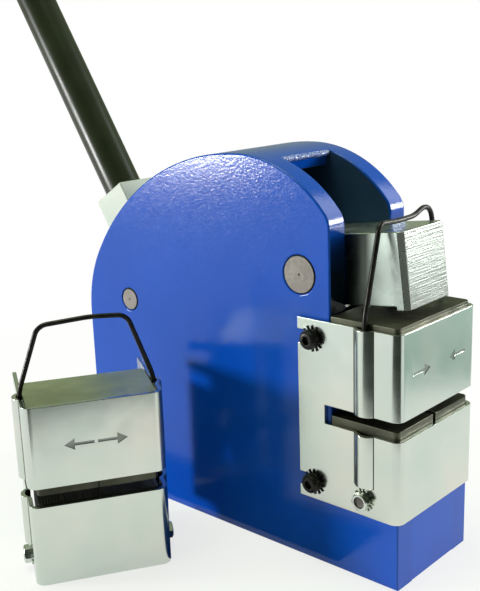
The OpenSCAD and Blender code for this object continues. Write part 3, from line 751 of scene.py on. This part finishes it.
# %% The two cartridges
jaw_axis = next(joint for joint in frame["joints"] if joint["name"] == "stretcher_upper_left_slide")["axis"]
LOOSE_TURN = math.atan2(-jaw_axis[0], jaw_axis[1])


def cartridge_place(kind, turn):
    low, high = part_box(kind + "_bail")
    floor_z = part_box(kind + "_case")[0].z
    middle = Vector(((low.x + high.x) / 2, (low.y + high.y) / 2, floor_z))
    return Matrix.Translation(middle) @ Matrix.Rotation(turn, 4, "Z")


places = {"shrinker": cartridge_place("shrinker", 0), "stretcher": cartridge_place("stretcher", LOOSE_TURN)}


def local_box(kind, node):
    """Lowest and highest corner of a node in its cartridge's own frame."""
    back = places[kind].inverted()
    points = [back @ point.co for point in frame["nodes"][node].data.vertices]
    low = Vector([min(point[axis] for point in points) for axis in range(3)])
    high = Vector([max(point[axis] for point in points) for axis in range(3)])
    return low, high


for kind in places:
    low, high = local_box(kind, kind + "_case")
    print(kind, "case in its own frame", [round(value / MM, 2) for value in (*low, *high)])

# %% [markdown]
# ## Cases with stamped arrows
# A case is one strip of plated sheet, bent round the jaws, with a bead pressed into each side and a slit for
# the work. Its front is stamped with two arrows that say what the jaws do: towards each other on the shrinker
# and apart on the stretcher. An arrow is a three-sided prism whose back face is pinched and extruded into a
# shaft. It is cut a third of a millimetre deep into the sheet. The floor of the stamp is duller and painted
# darker, and the creases along the beads are painted dark; both are painted shade, so these faces get
# finishes of their own.

# %% Stamped arrow
ARROW_HEAD = 3.4 * MM
ARROW_SHAFT = 9.5 * MM
ARROW_PINCH = 0.26
SHAFT_SHALLOW = 0.9
ARROW_HEIGHT = 72 * MM
ARROW_OFFSET = 12 * MM
STAMP_DEPTH = 0.35 * MM


def arrow_tool(front_x, middle_y, points_to):
    """A cutter for one arrow on the case front. It points to +Y or to -Y."""
    bpy.ops.object.select_all(action="DESELECT")
    bpy.ops.mesh.primitive_cylinder_add(vertices=3, radius=ARROW_HEAD, depth=4 * STAMP_DEPTH)
    tool = added("arrow_tool")
    choose(tool, "FACE", lambda face: face.normal.y < -0.9)
    bpy.ops.mesh.extrude_region_move(TRANSFORM_OT_translate={"value": (0, 0, 0)})
    bpy.ops.transform.resize(value=(ARROW_PINCH, 1, SHAFT_SHALLOW), center_override=(0, 0, 0))
    bpy.ops.mesh.extrude_region_move(TRANSFORM_OT_translate={"value": (0, -ARROW_SHAFT, 0)})
    done()
    turn = 0 if points_to > 0 else math.pi
    tool.matrix_world = (
        Matrix.Translation((front_x + STAMP_DEPTH, middle_y, ARROW_HEIGHT))
        @ Matrix.Rotation(turn, 4, "X") @ Matrix.Rotation(math.pi / 2, 4, "Y")
    )
    settle(tool)
    return tool


# %% Cases
CASE_EDGE_ROUND = 0.3 * MM
BEAD_WIDTH = 10.9 * MM
BEAD_HEIGHT = 3 * MM


def in_crease(spot, wall_y):
    """True for the narrow faces along the foot of a bead."""
    beside_bead = abs(abs(spot.x) - BEAD_WIDTH / 2) < 0.4 * MM
    return beside_bead and -NEAR < abs(spot.y) - wall_y < 0.3 * MM


def in_stamp(spot, front_x):
    """True for the floor of a stamped arrow."""
    depth = (front_x - spot.x) / STAMP_DEPTH
    return 0.7 < depth < 1.1 and abs(spot.z - ARROW_HEIGHT) < ARROW_HEAD


for kind, inward in (("shrinker", 1), ("stretcher", -1)):
    case = copy_of(kind + "_case", "stamped_" + kind + "_case")
    round_edges(case, CASE_EDGE_ROUND, segments=2, angle=50)
    case_high = local_box(kind, kind + "_case")[1]
    for side in (-1, 1):
        tool = arrow_tool(case_high.x, side * ARROW_OFFSET, -side * inward)
        tool.matrix_world = places[kind]
        settle(tool)
        cut(case, tool)
    smooth(case)
    fit(case, kind + "_case")
    back = places[kind].inverted()
    # The creases along the beads get the dark jaw steel: painted shade.
    dress(case, jaw_steel, lambda face: in_crease(back @ face.center, case_high.y - BEAD_HEIGHT))
    # The floors of the stamp get the darker zinc: painted shade.
    dress(case, stamp_shade_zinc, lambda face: in_stamp(back @ face.center, case_high.x))
    counts = [sum(face.material_index == index for face in case.data.polygons) for index in range(3)]
    print(kind, "faces of sheet, crease and stamp", counts)

# %% [markdown]
# ## Blocks and jaws
# Inside each case a lower block and a pressure block wedge four jaw halves together or apart. All are ground
# steel with broken edges. The gripping faces are serrated with fine grooves that run from front to back: one
# groove is a four-sided bar turned on its edge, and an array repeats it across the jaw before the cut.

# %% Blocks and jaws
BLOCK_ROUND = 0.4 * MM
JAW_ROUND = 0.3 * MM
GROOVE_PITCH = 1.5 * MM
GROOVE_DEPTH = 0.28 * MM
GROOVE_LENGTH = 60 * MM
GROOVE_MIDDLE = 20 * MM
# The loose cartridge's pressure block gets the paler copy with painted light.
painted_light_blocks = {"ground_stretcher_pressure_block": painted_light_steel}


def serrate(piece, kind, node, up):
    """Cut front-to-back grooves into the gripping face, which is the lower one where up is 1."""
    low, high = local_box(kind, node)
    face_z = low.z if up > 0 else high.z
    bpy.ops.object.select_all(action="DESELECT")
    bpy.ops.mesh.primitive_cylinder_add(vertices=4, radius=GROOVE_DEPTH, depth=GROOVE_LENGTH,
                                        rotation=(0, math.pi / 2, 0),
                                        location=(low.x + GROOVE_MIDDLE, low.y + GROOVE_PITCH, face_z))
    tool = added("groove_tool")
    settle(tool)
    modify(tool, "ARRAY", count=int((high.y - low.y) / GROOVE_PITCH) - 1, use_relative_offset=False,
           use_constant_offset=True, constant_offset_displace=(0, GROOVE_PITCH, 0))
    tool.matrix_world = places[kind]
    settle(tool)
    cut(piece, tool)


for kind in places:
    for part in ("lower_block", "pressure_block"):
        block = copy_of(f"{kind}_{part}", f"ground_{kind}_{part}")
        round_edges(block, BLOCK_ROUND, segments=2)
        fit(block, f"{kind}_{part}", painted_light_blocks.get(block.name))
    for level, up in (("upper", 1), ("lower", -1)):
        for side in ("right", "left"):
            node = f"{kind}_{level}_jaw_{side}"
            jaw = copy_of(node, "serrated_" + node)
            round_edges(jaw, JAW_ROUND, segments=2)
            serrate(jaw, kind, node, up)
            smooth(jaw)
            fit(jaw, node)

# %% [markdown]
# ## Case screws
# Four low socket head screws hold the bolted case by its slotted ears. The screw is turned from shank to domed
# head. Every second point of the head's side is then drawn in, which makes the knurl, and a six-sided bar cuts
# the key's socket. The copies are turned differently, as screws are after tightening.

# %% Case screw model
SCREW_RADIUS = 3.175 * MM
SCREW_REACH = 12.2 * MM
WASHER_THICKNESS = 0.9 * MM
HEAD_RADIUS = 4.8 * MM
HEAD_HEIGHT = 4.6 * MM
HEAD_SIDES = 48
KNURL_SCALE = 0.92
SOCKET_FLATS = 4 * MM
SOCKET_DEPTH = 2 * MM


def odd_point(point, sides):
    """True for every second point round the axis."""
    return round(math.atan2(point.co.y, point.co.x) / math.tau * sides) % 2 == 1


head_top = WASHER_THICKNESS + HEAD_HEIGHT
knurl_low, knurl_high = WASHER_THICKNESS + 0.5 * MM, head_top - 1.6 * MM
screw_model = turned("screw_model", [
    (SCREW_RADIUS - 0.8 * MM, -SCREW_REACH), (SCREW_RADIUS, 0.8 * MM - SCREW_REACH),
    (SCREW_RADIUS, WASHER_THICKNESS), (HEAD_RADIUS - 0.3 * MM, WASHER_THICKNESS),
    (HEAD_RADIUS, WASHER_THICKNESS + 0.3 * MM), (HEAD_RADIUS, knurl_low), (HEAD_RADIUS, knurl_high),
    (HEAD_RADIUS * 0.94, knurl_high + 0.5 * MM), (HEAD_RADIUS * 0.84, knurl_high + 1.0 * MM),
    (HEAD_RADIUS * 0.71, knurl_high + 1.4 * MM), (HEAD_RADIUS * 0.56, head_top)], sides=HEAD_SIDES)
choose(screw_model, "VERT", lambda point: knurl_low - NEAR < point.co.z < knurl_high + NEAR
       and odd_point(point, HEAD_SIDES))
bpy.ops.transform.resize(value=(KNURL_SCALE, KNURL_SCALE, 1), center_override=(0, 0, 0))
done()
bpy.ops.object.select_all(action="DESELECT")
bpy.ops.mesh.primitive_cylinder_add(vertices=6, radius=SOCKET_FLATS / math.sqrt(3), depth=2 * SOCKET_DEPTH,
                                    location=(0, 0, head_top))
cut(screw_model, added("socket_tool"))
smooth(screw_model, 30)

# %% Case screws on the ears
SCREW_TURNS = (14, 37, 5, 51)
washer_low, washer_high = local_box("shrinker", "case_screw_washers")
washer_radius = (washer_high.x - washer_low.x) / 2
ear_x = (washer_low.x + washer_high.x) / 2
ear_y = washer_high.y - WASHER_THICKNESS
ear_heights = (washer_low.z + washer_radius, washer_high.z - washer_radius)


def on_side(kind, x, y, z, side, turn=0):
    """A place on the side of a cartridge, with Z pointing outwards."""
    return (places[kind] @ Matrix.Translation((x, side * y, z)) @ Matrix.Rotation(-side * math.pi / 2, 4, "X")
            @ Matrix.Rotation(math.radians(turn), 4, "Z"))


ears = [(side, z) for side in (-1, 1) for z in ear_heights]
ear_names = ("right_low", "right_high", "left_low", "left_high")
ear_places = [on_side("shrinker", ear_x, ear_y, z, side, turn) for (side, z), turn in zip(ears, SCREW_TURNS)]
for screw in spread(screw_model, ["socket_screw_" + name for name in ear_names], ear_places):
    fit(screw, "case_screws")

# %% [markdown]
# ## Star washers
# Under each screw and bolt lies a star washer: a thin ring with teeth that are twisted to bite. A circle is
# extruded out to the root of the teeth, every second pair of edges is extruded into a tooth, and the two
# corners of each tooth are moved apart along the axis. Solidify then gives the sheet its thickness.

# %% Star washers
WASHER_TEETH = 14
WASHER_STEPS = 4 * WASHER_TEETH
TOOTH_LENGTH = 1.9 * MM
TOOTH_TWIST = 0.2 * MM
WASHER_SHEET = 0.45 * MM
WASHER_PLAY = 0.05 * MM
washer_middle = Vector((0, 0, WASHER_THICKNESS / 2))


def washer_step(point):
    """Which of the four points of a tooth's pitch this is."""
    return round(math.atan2(point.co.y, point.co.x) / math.tau * WASHER_STEPS) % 4


def from_axis(point):
    return math.hypot(point.co.x, point.co.y)


def is_tooth_foot(edge, tooth_root):
    at_root = all(from_axis(end) > tooth_root - NEAR for end in edge.verts)
    return at_root and {washer_step(end) for end in edge.verts} == {0, 1}


def widen(scale):
    """Extrude the chosen edges outwards."""
    bpy.ops.mesh.extrude_region_move(TRANSFORM_OT_translate={"value": (0, 0, 0)})
    bpy.ops.transform.resize(value=(scale, scale, 1), center_override=washer_middle)


def star_washer(hole_radius, outer_radius):
    tooth_root = outer_radius - TOOTH_LENGTH
    bpy.ops.object.select_all(action="DESELECT")
    bpy.ops.mesh.primitive_circle_add(vertices=WASHER_STEPS, radius=hole_radius, location=washer_middle)
    washer = added("washer_model")
    bpy.ops.object.transform_apply(location=True)
    choose(washer, "EDGE", lambda edge: True)
    widen(tooth_root / hole_radius)
    choose(washer, "EDGE", lambda edge: is_tooth_foot(edge, tooth_root))
    widen(outer_radius / tooth_root)
    for step, twist in ((0, TOOTH_TWIST), (1, -TOOTH_TWIST)):
        choose(washer, "VERT",
               lambda point: from_axis(point) > tooth_root + NEAR and washer_step(point) == step)
        bpy.ops.transform.translate(value=(0, 0, twist))
    done()
    modify(washer, "SOLIDIFY", thickness=WASHER_SHEET, offset=0, use_even_offset=True)
    smooth(washer, 40)
    return washer


ear_washer = star_washer(SCREW_RADIUS + WASHER_PLAY, washer_radius)
for washer in spread(ear_washer, ["star_washer_" + name for name in ear_names], ear_places):
    fit(washer, "case_screw_washers")

# %% [markdown]
# ## Jaw bolts
# A small hexagon bolt below each bead holds the lower block. It is turned with a crowned and dished head, as a
# cold-formed head is, and the head is then trimmed to six sides by a hexagonal bar.

# %% Jaw bolts
BOLT_RADIUS = 2.4 * MM
HEX_FLATS = 8 * MM
HEX_HEIGHT = 3.4 * MM
HEX_CROWN = 0.7 * MM
DISH_RADIUS = HEX_FLATS * 0.37
BOLT_REACH = 11.5 * MM
HEX_TURNS = (38, 22, 24, 15)
hex_top = WASHER_THICKNESS + HEX_HEIGHT
hex_corner = HEX_FLATS / math.sqrt(3)
bolt_model = turned("bolt_model", [
    (BOLT_RADIUS - 0.6 * MM, -BOLT_REACH), (BOLT_RADIUS, 0.6 * MM - BOLT_REACH),
    (BOLT_RADIUS, WASHER_THICKNESS), (hex_corner * 0.97, WASHER_THICKNESS),
    (hex_corner * 1.01, WASHER_THICKNESS + 0.25 * MM), (hex_corner * 1.01, hex_top - HEX_CROWN),
    (HEX_FLATS * 0.46, hex_top), (DISH_RADIUS, hex_top), (HEX_FLATS * 0.31, hex_top - 0.9 * MM),
    (HEX_FLATS * 0.1, hex_top - 1.2 * MM)])
bpy.ops.object.select_all(action="DESELECT")
bpy.ops.mesh.primitive_cylinder_add(vertices=6, radius=hex_corner, depth=40 * MM)
cut(bolt_model, added("hexagon_tool"), "INTERSECT")
smooth(bolt_model, 30)

bolt_low, bolt_high = local_box("shrinker", "shrinker_bolt_washers")
bolt_y = bolt_high.y - WASHER_THICKNESS
bolt_z = (bolt_low.z + bolt_high.z) / 2
bolt_washer_radius = (bolt_high.x - bolt_low.x) / 2
bolt_sides = [(kind, side) for kind in places for side in (-1, 1)]
bolt_names = [kind + ("_left" if side > 0 else "_right") for kind, side in bolt_sides]
bolt_places = [on_side(kind, 0, bolt_y, bolt_z, side, turn)
               for (kind, side), turn in zip(bolt_sides, HEX_TURNS)]
bolts = spread(bolt_model, ["hexagon_bolt_" + name for name in bolt_names], bolt_places)
bolt_washer = star_washer(BOLT_RADIUS + WASHER_PLAY, bolt_washer_radius)
washers = spread(bolt_washer, ["bolt_washer_" + name for name in bolt_names], bolt_places)


def in_dish(face, place):
    """True for the faces of the hollow in the head of a bolt at a place."""
    middle = place.inverted() @ face.center
    return math.hypot(middle.x, middle.y) < DISH_RADIUS and middle.z > WASHER_THICKNESS + MM


for (kind, side), place, bolt, washer in zip(bolt_sides, bolt_places, bolts, washers):
    fit(bolt, kind + "_jaw_bolts", bar_zinc)
    # The hollow of each bolt head gets the darker pin steel: painted shade.
    dress(bolt, pin_steel, lambda face: in_dish(face, place))
    fit(washer, kind + "_bolt_washers", bar_zinc)

# %% [markdown]
# ## Bails
# A bent wire is hooked into each pressure block. Its legs rise in the beads, and its crosspiece passes over
# the ram, which lifts the block by it. A point is extruded from corner to corner along the wire's middle, its
# corners are bevelled into bends, and the line becomes a curve with a round section. The wire is bent by hand,
# so the corners differ a little from side to side, and the two bails from each other.

# %% Bails
WIRE_RADIUS = 1.25 * MM
BEND_LENGTH = 4.5 * MM
HOOK_DEPTH = 7.7
HOOK_DROP = 6.5
LEG_RISE = 2


def bail(kind, crosspiece):
    """A wire bent through (y, height above the block) corners of its crosspiece, in mm."""
    node = kind + "_bail"
    block_top = local_box(kind, kind + "_pressure_block")[1].z / MM
    leg_y = local_box(kind, node)[1].y / MM - WIRE_RADIUS / MM
    foot = [(leg_y - HOOK_DEPTH, -HOOK_DROP), (leg_y, -HOOK_DROP), (leg_y, LEG_RISE)]
    route = [(-y, rise) for y, rise in foot] + list(crosspiece) + foot[::-1]
    corners = [Vector((0, y, block_top + rise)) * MM for y, rise in route]
    bpy.ops.object.select_all(action="DESELECT")
    bpy.ops.mesh.primitive_plane_add(size=MM)
    wire = added("bent_" + node)
    choose(wire, "VERT", lambda point: True)
    bpy.ops.mesh.merge(type="CENTER")
    bpy.ops.transform.translate(value=corners[0])
    for start, end in zip(corners, corners[1:]):
        bpy.ops.mesh.extrude_vertices_move(TRANSFORM_OT_translate={"value": end - start})
    choose(wire, "VERT", lambda point: len(point.link_edges) == 2)
    bpy.ops.mesh.bevel(offset=BEND_LENGTH, segments=6, affect="VERTICES", clamp_overlap=True)
    done()
    bpy.ops.object.convert(target="CURVE")
    wire.data.bevel_depth = WIRE_RADIUS
    wire.data.bevel_resolution = 4
    wire.data.use_fill_caps = True
    bpy.ops.object.convert(target="MESH")
    wire.matrix_world = places[kind]
    choose(wire, "FACE", lambda face: True)
    bpy.ops.mesh.remove_doubles(threshold=0.001 * MM)
    settle(wire)
    smooth(wire, 60)
    fit(wire, node)


bail("shrinker", ((-21.5, 44.3), (-7, 43.3), (7, 43.6), (16.5, 47), (22, 44.5)))
bail("stretcher", ((-21.75, 34.6), (4, 36.5), (21.75, 35.4)))

# %% [markdown]
# ## Return springs
# Small coil springs in the jaws open them after each bite. A ring of wire is set off from the axis, and the
# Screw modifier carries it round and along. Its two open ends are then filled. The jaws press the springs
# together as they move, but the coils here keep their length: a shrinker spring rides on the body of its
# node, and a stretcher spring, which lies between its block and its jaw, stays where it is made on no body.

# %% Return springs
SPRING_WIRE = 0.5 * MM
SPRING_PITCH = 1.9 * MM


def coil(kind, node, name, start_y, end_y, height, between=None):
    """A spring across the cartridge from start_y to end_y: on one body, or on no body where between is given.
    """
    low, high = local_box(kind, node)
    middle_radius = (high.z - low.z) / 2 - SPRING_WIRE
    span = end_y - start_y - 2 * SPRING_WIRE
    turns = max(3, round(span / SPRING_PITCH))
    bpy.ops.object.select_all(action="DESELECT")
    bpy.ops.mesh.primitive_circle_add(vertices=10, radius=SPRING_WIRE, location=(middle_radius, 0, 0),
                                      rotation=(math.pi / 2, 0, 0))
    spring = added(name)
    bpy.ops.object.transform_apply(location=True, rotation=True)
    modify(spring, "SCREW", axis="Z", screw_offset=span / turns, iterations=turns, steps=20, render_steps=20)
    choose(spring, "EDGE", lambda edge: edge.is_boundary)
    bpy.ops.mesh.fill_holes(sides=0)
    done()
    spring.matrix_world = (places[kind] @ Matrix.Translation((0, start_y + SPRING_WIRE, height))
                           @ Matrix.Rotation(-math.pi / 2, 4, "X"))
    settle(spring)
    smooth(spring, 60)
    fit(spring, node, between=between)
    return spring


for level in ("upper", "lower"):
    node = f"shrinker_{level}_spring"
    low, high = local_box("shrinker", node)
    spring = coil("shrinker", node, "coil_" + node, low.y, high.y, (low.z + high.z) / 2)
    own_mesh(spring)

    node = f"stretcher_{level}_springs"
    low, high = local_box("stretcher", node)
    inner_y = min(abs((places["stretcher"].inverted() @ point.co).y)
                  for point in frame["nodes"][node].data.vertices)
    height = (low.z + high.z) / 2
    for side, outer_y, jaw_y in (("right", low.y, -inner_y), ("left", high.y, inner_y)):
        outer_end, jaw_end = (places["stretcher"] @ Vector((0, y, height)) for y in (outer_y, jaw_y))
        coil("stretcher", node, f"coil_{node}_{side}", min(outer_y, jaw_y), max(outer_y, jaw_y), height,
             between=(body_of[node], f"stretcher_{level}_{side}", outer_end, jaw_end))

# %% [markdown]
# ## Floor and light
# The part stands on a white floor in a white studio. Close to it the floor shows its shadow, and farther out it
# fades into plain white, so that no horizon shows. Photographers lay dark cards beside polished metal, to give
# it dark bands that tell its shape. Three such cards lie here and show only in reflections: a black one towards
# the camera, a grey one to the right, and a narrow dark blue one along the near plate. The blue one is a
# painted shadow: it stands in for the shade on the floor beside the loose cartridge.

# %% Floor
FLOOR_WHITE = 0.92
SHADOW_WHITE = 0.72
SHADOW_REACH = (0.12, 0.5)


def when_seen(tree):
    """A value that is 1 for what is seen directly, in a reflection or through glass."""
    paths = add_node(tree, "ShaderNodeLightPath").outputs
    mirrored = add_node(tree, "ShaderNodeMath", [(0, paths["Is Camera Ray"]), (1, paths["Is Glossy Ray"])],
                        operation="MAXIMUM")
    seen = add_node(tree, "ShaderNodeMath",
                    [(0, mirrored.outputs["Value"]), (1, paths["Is Transmission Ray"])], operation="MAXIMUM")
    return seen.outputs["Value"]


bpy.ops.object.select_all(action="DESELECT")
bpy.ops.mesh.primitive_plane_add(size=8, location=(0, 0, cad_low.z))
floor = added("studio_floor")
floor_paint = new_finish("floor_paint", Base_Color=(FLOOR_WHITE, FLOOR_WHITE, FLOOR_WHITE, 1), Roughness=0.7,
                         Specular_IOR_Level=0.2)
floor_spot = add_node(floor_paint, "ShaderNodeTexCoord").outputs["Object"]
distance = add_node(floor_paint, "ShaderNodeVectorMath", [(0, floor_spot)], operation="LENGTH")
fade = add_node(floor_paint, "ShaderNodeMapRange",
                [("Value", distance.outputs["Value"]), ("From Min", SHADOW_REACH[0]),
                 ("From Max", SHADOW_REACH[1]), ("To Min", SHADOW_WHITE), ("To Max", 1.0)])
share = add_node(floor_paint, "ShaderNodeMath", [(0, fade.outputs["Result"]), (1, when_seen(floor_paint))],
                 operation="MULTIPLY")
plain_white = add_node(floor_paint, "ShaderNodeEmission", [("Color", (1, 1, 1, 1)), ("Strength", 1.0)])
floor_nodes = floor_paint.node_tree.nodes
floor_mix = add_node(floor_paint, "ShaderNodeMixShader",
                     [(0, share.outputs["Value"]), (1, floor_nodes["Principled BSDF"].outputs["BSDF"]),
                      (2, plain_white.outputs["Emission"])])
floor_paint.node_tree.links.new(floor_mix.outputs["Shader"], floor_nodes["Material Output"].inputs["Surface"])
floor.data.materials.append(floor_paint)

# %% Cards
CARD_HEIGHT = cad_low.z + 0.5 * MM


def lay_card(name, corner, sweep, tone):
    """A card swept from one straight edge, along a vector or to the left round Z by an angle in degrees."""
    start, end = (Vector((*spot, CARD_HEIGHT)) for spot in corner)
    bpy.ops.object.select_all(action="DESELECT")
    bpy.ops.mesh.primitive_plane_add(size=MM)
    card = added(name)
    choose(card, "VERT", lambda point: True)
    bpy.ops.mesh.merge(type="CENTER")
    bpy.ops.transform.translate(value=start)
    bpy.ops.mesh.extrude_vertices_move(TRANSFORM_OT_translate={"value": end - start})
    choose(card, "EDGE", lambda edge: True)
    if isinstance(sweep, tuple):
        bpy.ops.mesh.extrude_region_move(TRANSFORM_OT_translate={"value": (*sweep, 0)})
    else:
        bpy.ops.mesh.spin(steps=24, angle=-math.radians(sweep), center=(0, 0, CARD_HEIGHT), axis=(0, 0, 1))
    done()
    card.data.materials.append(new_finish(name, Base_Color=(*tone, 1), Roughness=0.9, Specular_IOR_Level=0.0))
    card.visible_camera = False
    card.visible_diffuse = False
    card.visible_shadow = False


lay_card("camera_card", ((0.031, -0.298), (0.261, -2.486)), 72, (0.03, 0.037, 0.037))
lay_card("right_card", ((0.328, 0.088), (0.869, 0.233)), 60, (0.33, 0.41, 0.43))
# A painted shadow, seen only in reflections: the shade on the floor beside the loose cartridge.
lay_card("shade_card", ((-0.12, -0.078), (-0.12, -0.036)), (0.19, 0), (0.01, 0.04, 0.20))

# %% [markdown]
# ## Lamps and world
# A softbox stands low at the camera's left. It lights the near plate, throws the loose cartridge's shadow on it
# and is mirrored by the top of the arch. Another one stands low on the right. It lights the front, leaves the
# corner beside the ram in shadow and puts a glint on the front ends of the arch. A third one hangs above, and
# like the room around it has a yellow-green tint, which turns the black pieces olive. A large dim one lights
# the lever block and the crest from the far side. The world is white where the camera sees it, dim elsewhere
# and almost black behind the camera.


# %% Softboxes
ROOM_TINT = (0.86, 1.0, 0.68)


def softbox(name, place, target, size, power, colour):
    """A rectangular area lamp that faces a point."""
    bpy.ops.object.select_all(action="DESELECT")
    bpy.ops.object.light_add(type="AREA", location=place)
    lamp = added(name)
    lamp.data.shape = "RECTANGLE"
    lamp.data.size, lamp.data.size_y = size
    lamp.data.energy = power
    lamp.data.color = colour
    lamp.visible_camera = False
    facing = (Vector(target) - Vector(place)).to_track_quat("-Z", "Y")
    lamp.rotation_euler = facing.to_euler()


MIDDLE = (0, 0, 0.1)
softbox("left_softbox", (-0.92, -0.95, 0.20), MIDDLE, (0.22, 0.24), 16, (1, 1, 1))
softbox("right_softbox", (0.85, 0.95, 0.36), MIDDLE, (0.4, 0.3), 12, (1, 1, 1))
softbox("top_softbox", (-0.2, -0.2, 1.3), MIDDLE, (0.8, 0.8), 10, ROOM_TINT)
softbox("lever_softbox", (0.48, 0.79, 0.73), (-0.06, 0, 0.2), (0.6, 0.6), 3.4, (1, 1, 1))

# %% World
TO_CAMERA = (0.675, -0.738, 0)
WORLD_DIM = 0.35
WORLD_DARK = 0.02
WORLD_FADE = (0.35, 0.75)
world = bpy.data.worlds.new("studio_world")
bpy.context.scene.world = world
world.use_nodes = True
background = world.node_tree.nodes["Background"]
direction = add_node(world, "ShaderNodeTexCoord").outputs["Generated"]
facing = add_node(world, "ShaderNodeVectorMath", [(0, direction), (1, TO_CAMERA)], operation="DOT_PRODUCT")
shade = add_node(world, "ShaderNodeMapRange",
                 [("Value", facing.outputs["Value"]), ("From Min", WORLD_FADE[0]), ("From Max", WORLD_FADE[1]),
                  ("To Min", WORLD_DIM), ("To Max", WORLD_DARK)])
camera_ray = add_node(world, "ShaderNodeLightPath").outputs["Is Camera Ray"]
strength = add_node(world, "ShaderNodeMix",
                    [("Factor", camera_ray), ("A", shade.outputs["Result"]), ("B", 1.0)])
world.node_tree.links.new(strength.outputs["Result"], background.inputs["Strength"])
colour = add_node(world, "ShaderNodeMix", [("Factor", camera_ray), (6, (*ROOM_TINT, 1)), (7, (1, 1, 1, 1))],
                  data_type="RGBA")
world.node_tree.links.new(colour.outputs[2], background.inputs["Color"])

# %% [markdown]
# ## Finish
# The colours are shown by the Standard view transform, so that they render as they are written.

# %% Finish
bpy.context.scene.view_settings.view_transform = "Standard"
